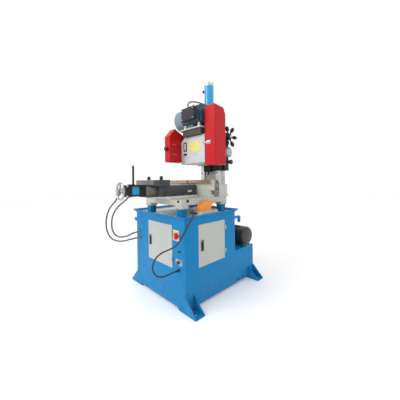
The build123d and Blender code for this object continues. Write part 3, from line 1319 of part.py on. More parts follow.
# The hood is closed at the cord's end, rises to its brow, and is open to the foot
hood_front = pedal_front + 2
hood_peak = pedal_front + 0.43 * pedal_length
brow_end = pedal_front + 0.87 * pedal_length
brow_top = hood_top - hood_fall
hood_outline = [(hood_front, base_top), (hood_front, base_top + hood_nose), (hood_peak, hood_top),
                (brow_end, brow_top), (brow_end, brow_top - pedal_wall),
                (pedal_front + 0.615 * pedal_length, base_top + hood_mouth),
                (pedal_front + 0.56 * pedal_length, base_top)]
tunnel_front = hood_front + pedal_wall
tunnel_end = brow_end + 10
tunnel_end_top = brow_top - pedal_wall - hood_fall * 10 / (brow_end - hood_peak)
tunnel_outline = [(tunnel_front, base_top - 1), (tunnel_front, base_top + hood_nose - pedal_wall / 2),
                  (hood_peak + 1, hood_top - pedal_wall), (tunnel_end, tunnel_end_top),
                  (tunnel_end, base_top - 1)]
with BuildPart() as pedal_hood:
    side_plate(hood_outline, (pedal_left + 2, pedal_right - 2))
    fillet(pedal_hood.edges().filter_by(Axis.X).group_by(Axis.Y)[0].sort_by(Axis.Z)[-1], 14)
    crown = pedal_hood.faces().filter_by(Axis.X).edges()
    fillet(crown.filter_by(lambda edge: edge.center().Z > base_top + 0.6 * pedal_hood_height
                           and edge.center().Y < pedal_front + 0.7 * pedal_length), 9)
    side_plate(tunnel_outline, (pedal_left + 2 + pedal_wall, pedal_right - 2 - pedal_wall), Mode.SUBTRACT)
save("pedal_hood", pedal_hood)

with BuildPart() as pedal_treadle:
    toe = pedal_back - 14
    treadle_x = (pedal_mid - treadle_half, pedal_mid + treadle_half)
    side_plate([(toe, base_top + 20), (toe, base_top + 27), (treadle_axis[0], treadle_axis[1] + treadle_boss),
                treadle_axis], treadle_x)
    bar_x(treadle_boss, treadle_x, treadle_axis[0], treadle_axis[1])
    bar_x(treadle_pin, (treadle_x[0] - 7, treadle_x[1] + 7), treadle_axis[0], treadle_axis[1])
save("pedal_treadle", pedal_treadle)

# Fittings where hoses and cords go in
left = -half_width
right = half_width
upper_fitting = (left + upper_fitting_in, upper_fitting_z)
lower_fitting = (left + lower_fitting_in, lower_fitting_z)
cord_gland_x = right - cord_gland_in
hose_port_x = -end_plate / 2 - 20
hose_port_z = vise_axis_z - 18
hose_ports_y = (sum(front_plate_span) / 2, sum(rear_plate) / 2)
pedal_gland = (pedal_left + pedal_gland_aside, pedal_front, tray_top + 0.65 * pedal_base_height)
with BuildPart() as pipe_fittings:
    for x, z in (upper_fitting, lower_fitting):
        bar_y(hose_radius + 2, x, (front - fitting_out, front), z)
        with BuildSketch(Plane.XZ.offset(-front)) as hexagon:
            with Locations((x, z)):
                RegularPolygon(hose_radius + 6, 6)
        extrude(hexagon.sketch, amount=9)
    for y in hose_ports_y:
        bar_x(hose_radius + 2, (hose_port_x, -end_plate / 2), y, hose_port_z)
    port_z = lift_top - 26
    bar_x(10, (column_x - lift_radius - 18, column_x), lift_y, port_z)
    bar_z(lift_radius, column_x, lift_y, (port_z - 12, port_z + 12), Mode.SUBTRACT)
    elbow_z = lift_top + lift_cap_thick
    bar_z(7, column_x - elbow_aside, lift_y, (elbow_z, elbow_z + 20))
    bar_x(7, (column_x - lift_radius - 14, column_x - elbow_aside), lift_y, elbow_z + 13)
    bar_z(26, -half_width * 0.7, (upper_back + back) / 2, (tank_top, tank_top + 34))
    for behind in (40, 110):
        bar_x(9, (half_width, half_width + 14), upper_back + behind, panel_bottom + 26)
save("pipe_fittings", pipe_fittings)

with BuildPart() as cord_glands:
    bar_y(pedal_cord_radius + 5, cord_gland_x, (front - 8, front), cord_gland_z)
    with Locations(Location((cord_gland_x, front - 18, cord_gland_z), (90, 0, 0))):
        Cone(pedal_cord_radius + 4, pedal_cord_radius + 1.5, 20)
    bar_y(pedal_cord_radius + 2, pedal_gland[0], (pedal_gland[1] - 14, pedal_gland[1]), pedal_gland[2])
save("cord_glands", cord_glands)


def cord(points, radius, name):
    """A round cord of straight runs joined by arcs as large as the runs allow."""
    corners = [Vector(*point) for point in points]
    radii = []
    for before, corner, after in zip(corners, corners[1:], corners[2:]):
        turn = radians((corner - before).get_angle(after - corner))
        shorter = min((corner - before).length, (after - corner).length)
        radii.append(0.45 * shorter / tan(turn / 2))
    with BuildPart() as tube:
        with BuildLine() as path:
            FilletPolyline(*points, radius=radii)
        with BuildSketch(Plane(origin=path.line @ 0, z_dir=path.line % 0)):
            Circle(radius)
        sweep()
    length = sum(edge.length for edge in path.edges())
    share = tube.part.volume / (pi * radius * radius * length)
    print(name, "length", round(length), "volume share", round(share, 4), "radii", [round(r) for r in radii])
    return tube


# Pedal cord: out of the front panel, in a standing loop, over the right rim, to the pedal
pedal_cord_points = [
    (cord_gland_x, front - 28, cord_gland_z), (cord_gland_x, front - 81, cord_gland_z),
    (cord_gland_x, front - 146, 284), (cord_gland_x, front - 198, 312), (cord_gland_x, front - 222, 366),
    (cord_gland_x, front - 204, 420), (right - 63, front - 152, 450), (right - 57, front - 90, 458),
    (right - 37, front - 42, 478), (right - 9, front - 18, 530), (right + 17, front - 2, 596),
    (right + 42, front + 17, 646), (right + 48, front + 38, 682), (right + 30, front + 58, 709),
    (right - 6, front + 78, 709), (right - 44, front + 96, 691),
    (pedal_gland[0], pedal_gland[1] - 49, pedal_gland[2]),
    (pedal_gland[0], pedal_gland[1] - 14, pedal_gland[2]),
]
pedal_cord = cord(pedal_cord_points, pedal_cord_radius, "pedal_cord")
save("pedal_cord", pedal_cord)

# Hoses from the two ends of the clamp cylinder to the front panel
vise_hose_lower_points = [
    (hose_port_x, hose_ports_y[0], hose_port_z), (-130, hose_ports_y[0], hose_port_z),
    (left + 105, front - 236, 772),
    (left - 10, front - 240, 712), (left - 90, front - 240, 620), (left - 115, front - 234, 520),
    (left - 90, front - 218, 448), (left - 37, front - 191, 415), (left + 20, front - 146, 410),
    (lower_fitting[0], front - fitting_out - 56, lower_fitting[1]),
    (lower_fitting[0], front - fitting_out, lower_fitting[1]),
]
vise_hose_lower = cord(vise_hose_lower_points, hose_radius, "vise_hose_lower")
save("vise_hose_lower", vise_hose_lower)

vise_hose_upper_points = [
    (hose_port_x, hose_ports_y[1], hose_port_z), (-122, hose_ports_y[1], hose_port_z),
    (left + 130, front - 156, 780),
    (left + 35, front - 188, 720), (left - 40, front - 206, 640), (left - 67, front - 206, 556),
    (left - 63, front - 198, 492), (left - 35, front - 178, 452), (left + 7, front - 146, 444),
    (left + 43, front - 106, 456), (upper_fitting[0], front - fitting_out - 40, upper_fitting[1]),
    (upper_fitting[0], front - fitting_out, upper_fitting[1]),
]
vise_hose_upper = cord(vise_hose_upper_points, hose_radius, "vise_hose_upper")
save("vise_hose_upper", vise_hose_upper)

# Motor cable: up from the terminal box, over the motor and down to the head carriage
cable_end_x = right_cheek[0]
cable_end_y = (wing_front + slide_back) / 2
motor_cable_points = [
    (gland_x, gland_y, terminal_top + 8), (gland_x, gland_y, 1537), (200, -240, 1558), (206, -197, 1566),
    (215, -142, 1566), (229, -88, 1556), (245, -38, 1526), (255, 2, 1482), (cable_end_x, cable_end_y, 1438),
    (cable_end_x, cable_end_y, carriage_top),
]
motor_cable = cord(motor_cable_points, motor_cable_radius, "motor_cable")
save("motor_cable", motor_cable)
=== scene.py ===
# %% [markdown]
# # Looks of a pipe and profile cutting machine
# The machine is a vertical circular saw: a saw head with a motor slides on a column over a hydraulic vise,
# on a blue sheet-metal cabinet. Its solids come ready from the CAD model, which is loaded as a fixed frame.
# This lesson gives each of them a procedural material, adds the small things that belong to the looks
# (screws, nuts, bare plates, hose ends), lays the cords along their routes, and sets the stage, the lights
# and the camera. Blender works in metres; places in this lesson are written in millimetres, as a machine
# drawing would have them.

# %% Set-up
import json
import math

import bmesh
import bpy
from mathutils import Matrix, Vector


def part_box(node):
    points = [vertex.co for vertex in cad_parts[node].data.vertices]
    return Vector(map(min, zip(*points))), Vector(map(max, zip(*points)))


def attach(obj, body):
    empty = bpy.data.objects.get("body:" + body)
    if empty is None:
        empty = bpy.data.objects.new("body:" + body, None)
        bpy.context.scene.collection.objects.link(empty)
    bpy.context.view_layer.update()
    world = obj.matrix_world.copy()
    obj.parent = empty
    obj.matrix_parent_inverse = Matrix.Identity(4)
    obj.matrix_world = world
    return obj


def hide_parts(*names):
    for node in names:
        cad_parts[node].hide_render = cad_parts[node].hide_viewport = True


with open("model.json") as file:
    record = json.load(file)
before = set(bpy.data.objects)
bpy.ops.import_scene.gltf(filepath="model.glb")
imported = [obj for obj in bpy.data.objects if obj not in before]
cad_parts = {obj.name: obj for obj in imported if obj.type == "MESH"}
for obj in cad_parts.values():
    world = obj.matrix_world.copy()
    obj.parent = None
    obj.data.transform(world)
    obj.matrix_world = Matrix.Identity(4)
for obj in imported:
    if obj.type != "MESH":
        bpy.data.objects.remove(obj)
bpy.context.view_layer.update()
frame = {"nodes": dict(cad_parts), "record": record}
record = frame["record"]
MM = 0.001

# %% [markdown]
# ## Camera
# The machine is seen from the operator's right front, from chest height, through a wide lens. A camera
# could be turned by hand until the picture looks right, but its place and lens were worked out from
# straight edges of the cabinet, so every piece falls where it should. The picture leans a little, and its
# optical centre is above the middle, which is what `shift_y` is for. The view transform is Standard, so a
# colour renders about as it is written.

# %% Camera
PICTURE_SIDE = 400                  # pixels
FOCAL_PIXELS = 212.23
CENTRE_ABOVE_PIXELS = 19.29
bpy.ops.object.select_all(action="DESELECT")
bpy.ops.object.camera_add(location=(1.4557, -1.3843, 0.9251),
                          rotation=(math.radians(90), math.radians(0.67), math.radians(45.39)))
camera = bpy.context.object
camera.data.sensor_width = 36
camera.data.lens = 36 * FOCAL_PIXELS / PICTURE_SIDE
camera.data.shift_y = -CENTRE_ABOVE_PIXELS / PICTURE_SIDE
camera.data.clip_start = 0.01
bpy.context.scene.camera = camera
bpy.context.scene.view_settings.view_transform = "Standard"
print("Camera lens in mm:", round(camera.data.lens, 2))

# %% [markdown]
# ## Floor
# The machine stands on a plain pale studio floor that runs on into a white background. More light would
# whiten it but also wash out the machine. So the floor keeps an ordinary pale colour, which holds the
# shadow, and adds a little glow of its own that only the camera and mirror-like surfaces see. `Light Path`
# tells these rays from the others.

# %% Floor
FLOOR_GLOW = 0.12


def seen_or_mirrored(tree):
    """One for camera, glossy and transmission rays, and zero for the rays that carry light."""
    rays = tree.nodes.new("ShaderNodeLightPath")
    either = rays.outputs["Is Camera Ray"]
    for kind in ("Is Glossy Ray", "Is Transmission Ray"):
        larger = tree.nodes.new("ShaderNodeMath")
        larger.operation = "MAXIMUM"
        tree.links.new(either, larger.inputs[0])
        tree.links.new(rays.outputs[kind], larger.inputs[1])
        either = larger.outputs[0]
    return either


def level_between(tree, switch, low, high):
    """A strength that is low where the switch is zero and high where it is one."""
    level = tree.nodes.new("ShaderNodeMapRange")
    level.inputs["To Min"].default_value = low
    level.inputs["To Max"].default_value = high
    tree.links.new(switch, level.inputs["Value"])
    return level.outputs["Result"]


bpy.ops.mesh.primitive_plane_add(size=40, location=(0, 0, -0.0005))
floor = bpy.context.object
floor.name = "studio_floor"
floor_paint = bpy.data.materials.new("studio_floor")
floor_paint.use_nodes = True
floor_shader = floor_paint.node_tree.nodes["Principled BSDF"]
floor_shader.inputs["Base Color"].default_value = (0.96, 0.96, 0.96, 1)
floor_shader.inputs["Roughness"].default_value = 0.9
floor_shader.inputs["Specular IOR Level"].default_value = 0.1
floor_shader.inputs["Emission Color"].default_value = (1, 1, 1, 1)
floor_glow = level_between(floor_paint.node_tree, seen_or_mirrored(floor_paint.node_tree), 0.0, FLOOR_GLOW)
floor_paint.node_tree.links.new(floor_glow, floor_shader.inputs["Emission Strength"])
floor.data.materials.append(floor_paint)
print("Floor glow for the camera:", FLOOR_GLOW)

# %% [markdown]
# ## Sky
# An even pale sky lights the machine from all sides, as a white studio tent would. The camera sees it as
# pure white, and so do chrome and glass, while the light that it sheds is a little weaker, so that shaded
# sides keep their tone.

# %% Sky
SKY_LIGHT = 0.9
world = bpy.data.worlds.new("studio")
bpy.context.scene.world = world
world.use_nodes = True
sky = world.node_tree
sky.nodes["Background"].inputs["Color"].default_value = (1, 1, 1, 1)
sky_strength = level_between(sky, seen_or_mirrored(sky), SKY_LIGHT, 1.0)
sky.links.new(sky_strength, sky.nodes["Background"].inputs["Strength"])
print("Sky light:", SKY_LIGHT)

# %% [markdown]
# ## Lamps
# One large soft key light stands high at the operator's left front, so front faces are brighter than the
# right side, and a weak fill opens the shadows on the right. Area lights give soft edges, which spots or
# points would not. Each is aimed at the machine's middle by two angles worked out from its place.

# %% Lamps


def soft_light(name, place, target, side, watts):
    """A square area light at place, facing target."""
    bpy.ops.object.light_add(type="AREA", location=place)
    lamp = bpy.context.object
    lamp.name = name
    lamp.data.shape = "SQUARE"
    lamp.data.size = side
    lamp.data.energy = watts
    aim = [t - p for t, p in zip(target, place)]
    flat = math.hypot(aim[0], aim[1])
    lamp.rotation_euler = (math.atan2(flat, -aim[2]), 0, math.atan2(aim[1], aim[0]) - math.pi / 2)
    print(name, "watts:", watts)


MACHINE_MIDDLE = (0, -0.1, 0.9)
soft_light("key_light", (-0.9, -3.2, 3.0), MACHINE_MIDDLE, 2.0, 62)
soft_light("fill_light", (3.2, 0.6, 2.0), MACHINE_MIDDLE, 2.4, 3)

# %% [markdown]
# ## Node helpers
# Materials here are small networks of nodes. Wiring each by hand takes four lines a node, so a few helpers
# make the nodes that come back most: a noise, a stretched range, a sum or product, and a mix of two
# colours. `group_tree` starts a node group with its sockets, for an effect that several materials share.

# %% Node helpers


def group_tree(name, inputs, outputs):
    """An empty node group with its sockets, and its two end nodes."""
    tree = bpy.data.node_groups.new(name, "ShaderNodeTree")
    for socket, kind in inputs:
        tree.interface.new_socket(socket, in_out="INPUT", socket_type=kind)
    for socket, kind in outputs:
        tree.interface.new_socket(socket, in_out="OUTPUT", socket_type=kind)
    return tree, tree.nodes.new("NodeGroupInput"), tree.nodes.new("NodeGroupOutput")


def noise_in(tree, vector, scale, detail=3.0):
    """A noise texture in a node tree, its scale a number or a socket."""
    noise = tree.nodes.new("ShaderNodeTexNoise")
    noise.inputs["Detail"].default_value = detail
    tree.links.new(vector, noise.inputs["Vector"])
    if isinstance(scale, (int, float)):
        noise.inputs["Scale"].default_value = scale
    else:
        tree.links.new(scale, noise.inputs["Scale"])
    return noise.outputs["Fac"]


def map_range(tree, value, low, high, to_low=0.0, to_high=1.0):
    """A value stretched from one range to another."""
    node = tree.nodes.new("ShaderNodeMapRange")
    node.inputs["From Min"].default_value = low
    node.inputs["From Max"].default_value = high
    node.inputs["To Min"].default_value = to_low
    node.inputs["To Max"].default_value = to_high
    tree.links.new(value, node.inputs["Value"])
    return node.outputs["Result"]


def math_node(tree, operation, first, second):
    """A sum or product of two sockets, or of a socket and a number."""
    node = tree.nodes.new("ShaderNodeMath")
    node.operation = operation
    for socket, value in zip(node.inputs, (first, second)):
        if isinstance(value, (int, float)):
            socket.default_value = value
        else:
            tree.links.new(value, socket)
    return node.outputs[0]


def mix_colors(tree, factor, first, second, blend="MIX"):
    """Two colours mixed by a factor socket."""
    node = tree.nodes.new("ShaderNodeMix")
    node.data_type = "RGBA"
    node.blend_type = blend
    tree.links.new(factor, node.inputs[0])
    for socket, value in zip((node.inputs[6], node.inputs[7]), (first, second)):
        if isinstance(value, tuple):
            socket.default_value = value
        else:
            tree.links.new(value, socket)
    return node.outputs[2]


VECTOR, COLOR, VALUE = "NodeSocketVector", "NodeSocketColor", "NodeSocketFloat"
print("Socket kinds for groups:", VECTOR, COLOR, VALUE)

# %% [markdown]
# ## Mottle
# No painted or cast surface has quite one colour: light wear and cleaning leave broad soft patches and fine
# specks. A painted picture could show them, but a picture stretches over corners. Two noises of different
# size, read in object coordinates, run through the solid and meet at every edge. The group puts out a
# colour, and each material says how much.

# %% Mottle
MOTTLE_SHADE = (0.28, 0.27, 0.26, 1)
mottle, start, end = group_tree(
    "mottle", [("Vector", VECTOR), ("Color", COLOR), ("Amount", VALUE)], [("Color", COLOR)])
broad = map_range(mottle, noise_in(mottle, start.outputs["Vector"], 4.0), 0.3, 0.7)
fine = map_range(mottle, noise_in(mottle, start.outputs["Vector"], 160.0), 0.35, 0.65)
patches = math_node(
    mottle, "ADD", math_node(mottle, "MULTIPLY", broad, 0.7), math_node(mottle, "MULTIPLY", fine, 0.3))
shaded = mix_colors(mottle, start.outputs["Amount"], start.outputs["Color"], MOTTLE_SHADE, "MULTIPLY")
mottle.links.new(mix_colors(mottle, patches, start.outputs["Color"], shaded), end.inputs["Color"])
print("Mottle nodes:", len(mottle.nodes))

# %% [markdown]
# ## Dust near the floor
# Workshop dust settles low on a cabinet. A gradient alone would draw a clean line, so the height above the
# floor is multiplied by a cloudy noise. The group puts out a mask, and the paint mixes in a dust colour
# with it. Because the model's origin is on the floor, the object coordinate Z is the height itself.

# %% Dust
floor_dust, start, end = group_tree("floor_dust", [("Vector", VECTOR), ("Height", VALUE)], [("Mask", VALUE)])
split = floor_dust.nodes.new("ShaderNodeSeparateXYZ")
floor_dust.links.new(start.outputs["Vector"], split.inputs[0])
height_share = math_node(floor_dust, "DIVIDE", split.outputs["Z"], start.outputs["Height"])
low_down = math_node(floor_dust, "MAXIMUM", math_node(floor_dust, "SUBTRACT", 1.0, height_share), 0.0)
cloud = map_range(floor_dust, noise_in(floor_dust, start.outputs["Vector"], 22.0, 5.0), 0.35, 0.75)
thin = math_node(floor_dust, "MULTIPLY", low_down, cloud)
floor_dust.links.new(math_node(floor_dust, "MULTIPLY", thin, 0.12), end.inputs["Mask"])
print("Dust nodes:", len(floor_dust.nodes))

# %% [markdown]
# ## Peel and grinding marks
# Sprayed paint dries with a fine orange peel, and cast iron keeps the grain of the sand. Both are far too
# small to model, so `peel` turns a fine noise into a bump. `streaks` gives the long marks of a grinding
# wheel: the coordinates are multiplied by a different number along each axis, so one noise is drawn out
# into lines.

# %% Peel and streaks
peel, start, end = group_tree(
    "peel", [("Vector", VECTOR), ("Scale", VALUE), ("Strength", VALUE)], [("Normal", VECTOR)])
bump = peel.nodes.new("ShaderNodeBump")
bump.inputs["Distance"].default_value = 0.0006
peel.links.new(start.outputs["Strength"], bump.inputs["Strength"])
peel.links.new(noise_in(peel, start.outputs["Vector"], start.outputs["Scale"], 2.0), bump.inputs["Height"])
peel.links.new(bump.outputs["Normal"], end.inputs["Normal"])

streaks, start, end = group_tree("streaks", [("Vector", VECTOR), ("Stretch", VECTOR)], [("Value", VALUE)])
stretch = streaks.nodes.new("ShaderNodeVectorMath")
stretch.operation = "MULTIPLY"
streaks.links.new(start.outputs["Vector"], stretch.inputs[0])
streaks.links.new(start.outputs["Stretch"], stretch.inputs[1])
streaks.links.new(noise_in(streaks, stretch.outputs[0], 1.0, 4.0), end.inputs["Value"])
print("Shared effects:", [group.name for group in (mottle, floor_dust, peel, streaks)])

# %% [markdown]
# ## Paint on sheet metal
# The cabinet, doors, guard and belt cover are folded sheet with sprayed paint. One glossy shader would look
# like plastic, so the colour is mottled, the roughness varies as if hands had rubbed it, and the peel
# breaks up highlights. A weak coat gives the paint its skin. `material` and `effect` start every finish in
# this lesson.

# %% Paint


def material(name):
    """A new node material: its tree, its shader and the object coordinates."""
    made = bpy.data.materials.new(name)
    made.use_nodes = True
    tree = made.node_tree
    coords = tree.nodes.new("ShaderNodeTexCoord").outputs["Object"]
    return made, tree, tree.nodes["Principled BSDF"], coords


def effect(tree, group, coords, **values):
    """A shared effect in a material's tree, with its values set."""
    node = tree.nodes.new("ShaderNodeGroup")
    node.node_tree = group
    tree.links.new(coords, node.inputs["Vector"])
    for key, value in values.items():
        node.inputs[key].default_value = value
    return node


def rgba(color, share=1.0):
    """A colour with its alpha, at a share of its brightness."""
    return (color[0] * share, color[1] * share, color[2] * share, 1)


def worn_roughness(tree, shader, coords, scale, low, high):
    """Roughness that wanders between two values."""
    tree.links.new(map_range(tree, noise_in(tree, coords, scale, 4.0), 0.35, 0.7, low, high),
                   shader.inputs["Roughness"])


def skin(tree, shader, coords, scale, strength):
    """The fine bump of a finish."""
    node = effect(tree, peel, coords, Scale=scale, Strength=strength)
    tree.links.new(node.outputs["Normal"], shader.inputs["Normal"])


DUST = (0.36, 0.34, 0.31, 1)
PAINT_ROUGHNESS = {"gloss": 0.26, "semi-gloss": 0.42, "satin": 0.5}


def paint(name, color, roughness, specular=0.16):
    """Sprayed paint on sheet metal, with a coat, fine peel and dust near the floor."""
    made, tree, shader, coords = material(name)
    varied = effect(tree, mottle, coords, Color=rgba(color), Amount=0.08).outputs["Color"]
    dust = effect(tree, floor_dust, coords, Height=0.30).outputs["Mask"]
    tree.links.new(mix_colors(tree, dust, varied, DUST), shader.inputs["Base Color"])
    worn_roughness(tree, shader, coords, 18.0, roughness - 0.06, roughness + 0.12)
    skin(tree, shader, coords, 420.0, 0.10)
    shader.inputs["Specular IOR Level"].default_value = specular
    shader.inputs["Coat Weight"].default_value = 0.04
    shader.inputs["Coat Roughness"].default_value = 0.18
    return made


print("Paint roughness by finish:", PAINT_ROUGHNESS)

# %% [markdown]
# ## Paint on cast iron
# The column, base, gearbox and vise are castings. They are filled and brushed or sprayed, so their skin is
# coarser than the sheet's, and oil from the saw head leaves darker patches. The patches are a noise cut
# high, so they stay rare.

# %% Cast iron
OIL_STAIN = (0.10, 0.085, 0.06, 1)


def cast_paint(name, color):
    """Filler and paint over cast iron: a coarse skin with darker patches."""
    made, tree, shader, coords = material(name)
    varied = effect(tree, mottle, coords, Color=rgba(color), Amount=0.16).outputs["Color"]
    oil = map_range(tree, noise_in(tree, coords, 9.0, 6.0), 0.56, 0.74, 0.0, 0.35)
    tree.links.new(mix_colors(tree, oil, varied, OIL_STAIN), shader.inputs["Base Color"])
    worn_roughness(tree, shader, coords, 26.0, 0.38, 0.60)
    skin(tree, shader, coords, 150.0, 0.30)
    return made


print("Oil stain:", OIL_STAIN[:3])

# %% [markdown]
# ## Bare metals
# The column ways, shafts and screw are ground steel: bright, with long fine marks along the grinding. The
# marks drive both the roughness and a slight bump, which makes the highlight break into lines. Plated parts
# are smoother and only smeared, and cast aluminium or brass is duller, with a sandy skin.

# %% Bare metals
GRIND_STRETCH = (900.0, 900.0, 14.0)


def ground_steel(name, color):
    """Bare steel with long grinding marks."""
    made, tree, shader, coords = material(name)
    marks = effect(tree, streaks, coords, Stretch=GRIND_STRETCH).outputs["Value"]
    stain = map_range(tree, noise_in(tree, coords, 30.0, 5.0), 0.5, 0.75, 0.0, 0.45)
    tree.links.new(mix_colors(tree, stain, rgba(color), rgba(color, 0.5)), shader.inputs["Base Color"])
    tree.links.new(map_range(tree, marks, 0.3, 0.7, 0.2, 0.44), shader.inputs["Roughness"])
    shader.inputs["Metallic"].default_value = 1.0
    grind = tree.nodes.new("ShaderNodeBump")
    grind.inputs["Strength"].default_value = 0.12
    grind.inputs["Distance"].default_value = 0.0004
    tree.links.new(marks, grind.inputs["Height"])
    tree.links.new(grind.outputs["Normal"], shader.inputs["Normal"])
    return made


def plated(name, color):
    """Chrome plate with faint smears."""
    made, tree, shader, coords = material(name)
    worn_roughness(tree, shader, coords, 40.0, 0.1, 0.26)
    tint = map_range(tree, noise_in(tree, coords, 12.0), 0.4, 0.7, 0.0, 0.3)
    tree.links.new(mix_colors(tree, tint, rgba(color), rgba(color, 0.7)), shader.inputs["Base Color"])
    shader.inputs["Metallic"].default_value = 1.0
    return made


def cast_metal(name, color):
    """Unpainted cast aluminium or brass."""
    made, tree, shader, coords = material(name)
    varied = effect(tree, mottle, coords, Color=rgba(color), Amount=0.3).outputs["Color"]
    tree.links.new(varied, shader.inputs["Base Color"])
    worn_roughness(tree, shader, coords, 60.0, 0.33, 0.55)
    skin(tree, shader, coords, 500.0, 0.2)
    shader.inputs["Metallic"].default_value = 0.9
    return made


print("Grinding runs along Z, stretch:", GRIND_STRETCH)

# %% [markdown]
# ## Rubber and plastic
# Cords and belts are rubber, which greys with a dusty bloom. Knobs, lamps and grips are moulded plastic
# with a fine grain. Both could be one grey shader, but the bloom and the grain are what tells them apart at
# close range.

# %% Rubber and plastic
BLOOM = (0.09, 0.09, 0.09, 1)


def rubber(name, color):
    """Matt rubber with a dusty bloom."""
    made, tree, shader, coords = material(name)
    bloom = map_range(tree, noise_in(tree, coords, 35.0, 5.0), 0.45, 0.8, 0.0, 0.18)
    tree.links.new(mix_colors(tree, bloom, rgba(color), BLOOM), shader.inputs["Base Color"])
    shader.inputs["Roughness"].default_value = 0.55
    skin(tree, shader, coords, 900.0, 0.15)
    return made


def plastic(name, color):
    """Moulded plastic with a fine grain."""
    made, tree, shader, coords = material(name)
    varied = effect(tree, mottle, coords, Color=rgba(color), Amount=0.12).outputs["Color"]
    tree.links.new(varied, shader.inputs["Base Color"])
    worn_roughness(tree, shader, coords, 50.0, 0.34, 0.50)
    skin(tree, shader, coords, 1100.0, 0.12)
    return made


print("Rubber bloom:", BLOOM[:3])

# %% [markdown]
# ## A material for each slot
# The record lists the machine's material slots, each with a class, a colour and a finish. A long list of
# materials could be written out here, but then the colours would stand in two places. So the class picks
# the function, and the record gives the colour.

# %% Slots
FINISHES = {
    "cast_iron": cast_paint, "brushed_steel": ground_steel, "chrome": plated, "aluminium": cast_metal,
    "brass": cast_metal, "rubber": rubber, "matte_plastic": plastic, "gloss_plastic": plastic,
}
SLOT_COLOR = {entry["slot"]: entry["base_color"] for entry in record["materials"]}
slot_materials = {}
for entry in record["materials"]:
    slot, color = entry["slot"], entry["base_color"]
    if entry["class"] == "painted_metal":
        slot_materials[slot] = paint(slot, color, PAINT_ROUGHNESS[entry["finish"]])
    else:
        slot_materials[slot] = FINISHES[entry["class"]](slot, color)
print("Slot materials:", len(slot_materials))

# %% [markdown]
# ## Braided hose and screw thread
# The two vise hoses have a steel wire braid, and the vise is driven by a trapezoidal screw. Modelled
# strands or a modelled thread would take tens of thousands of faces. Crossed wave textures give the braid
# and one wave along the screw gives the thread, both as bump and as painted shade darkening the gaps. The
# wave's scale follows from the real pitch.

# %% Braid and thread
WAVE_LENGTH = 0.314                 # metres from band to band at a scale of one


def wave_bands(tree, coords, axis, pitch):
    """Bands across an axis, one to each pitch in millimetres."""
    wave = tree.nodes.new("ShaderNodeTexWave")
    wave.bands_direction = axis
    wave.inputs["Scale"].default_value = WAVE_LENGTH / (pitch * MM)
    tree.links.new(coords, wave.inputs["Vector"])
    return wave.outputs["Fac"]


def ridges(tree, shader, height, strength, depth):
    """Bump from a height socket, its depth in millimetres."""
    node = tree.nodes.new("ShaderNodeBump")
    node.inputs["Strength"].default_value = strength
    node.inputs["Distance"].default_value = depth * MM
    tree.links.new(height, node.inputs["Height"])
    tree.links.new(node.outputs["Normal"], shader.inputs["Normal"])


def braided(name, color, pitch):
    """Wire braid over a hose: two sets of strands that cross."""
    made, tree, shader, coords = material(name)
    across = wave_bands(tree, coords, "X", pitch)
    upward = wave_bands(tree, coords, "Z", pitch)
    strands = math_node(tree, "MAXIMUM", across, upward)
    # The gaps between strands are darkened: painted shade.
    tree.links.new(mix_colors(tree, strands, rgba(color, 0.3), rgba(color)), shader.inputs["Base Color"])
    ridges(tree, shader, strands, 0.4, 0.6)
    shader.inputs["Metallic"].default_value = 0.6
    shader.inputs["Roughness"].default_value = 0.42
    return made


def threaded(name, color, pitch):
    """Bare steel with a thread round the Y axis."""
    made, tree, shader, coords = material(name)
    thread = wave_bands(tree, coords, "Y", pitch)
    # The thread's grooves are darkened: painted shade.
    tree.links.new(mix_colors(tree, thread, rgba(color, 0.24), rgba(color)), shader.inputs["Base Color"])
    ridges(tree, shader, thread, 0.7, 1.5)
    shader.inputs["Metallic"].default_value = 1.0
    shader.inputs["Roughness"].default_value = 0.3
    return made


BRAID_PITCH = 2.6
SCREW_PITCH = 5.0
BRAID_GREY = (0.16, 0.16, 0.17)
slot_materials["hose_grey"] = braided("hose_braid", BRAID_GREY, BRAID_PITCH)
print("Braid pitch and thread pitch in mm:", BRAID_PITCH, SCREW_PITCH)

# %% [markdown]
# ## Pieces in two finishes or with painted shade
# Some pieces carry more than one finish: a casting with a machined pad, a jaw with dark bolts. Inside the red
# guard and under the motor's plate a dark zone is painted shade. Splitting their meshes would change the CAD
# model, which stays as it is.
# Instead a material compares the object coordinates with boxes and gives each box its own colour and metal.

# %% Zones


def zoned(name, color, zones, roughness=0.42, bump=0.15, specular=0.35):
    """One piece in several finishes or with painted shade: each zone is a box in millimetres with its own
    colour and metal.
    """
    made, tree, shader, coords = material(name)
    split = tree.nodes.new("ShaderNodeSeparateXYZ")
    tree.links.new(coords, split.inputs[0])
    finish = effect(tree, mottle, coords, Color=rgba(color), Amount=0.14).outputs["Color"]
    metal = None
    for bounds, zone_color, metallic in zones:
        mask = None
        for axis, (low, high) in bounds.items():
            inside = tree.nodes.new("ShaderNodeMath")
            inside.operation = "COMPARE"
            tree.links.new(split.outputs[axis], inside.inputs[0])
            inside.inputs[1].default_value = (low + high) / 2 * MM
            inside.inputs[2].default_value = (high - low) / 2 * MM
            mask = inside.outputs[0] if mask is None else math_node(tree, "MULTIPLY", mask, inside.outputs[0])
        finish = mix_colors(tree, mask, finish, rgba(zone_color))
        shine = math_node(tree, "MULTIPLY", mask, metallic)
        metal = shine if metal is None else math_node(tree, "MAXIMUM", metal, shine)
    tree.links.new(finish, shader.inputs["Base Color"])
    tree.links.new(metal, shader.inputs["Metallic"])
    worn_roughness(tree, shader, coords, 40.0, roughness - 0.08, roughness + 0.1)
    skin(tree, shader, coords, 300.0, bump)
    shader.inputs["Specular IOR Level"].default_value = specular
    return made


def corners_mm(node):
    """A CAD node's two corners in millimetres."""
    low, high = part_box(node)
    return [value / MM for value in low], [value / MM for value in high]


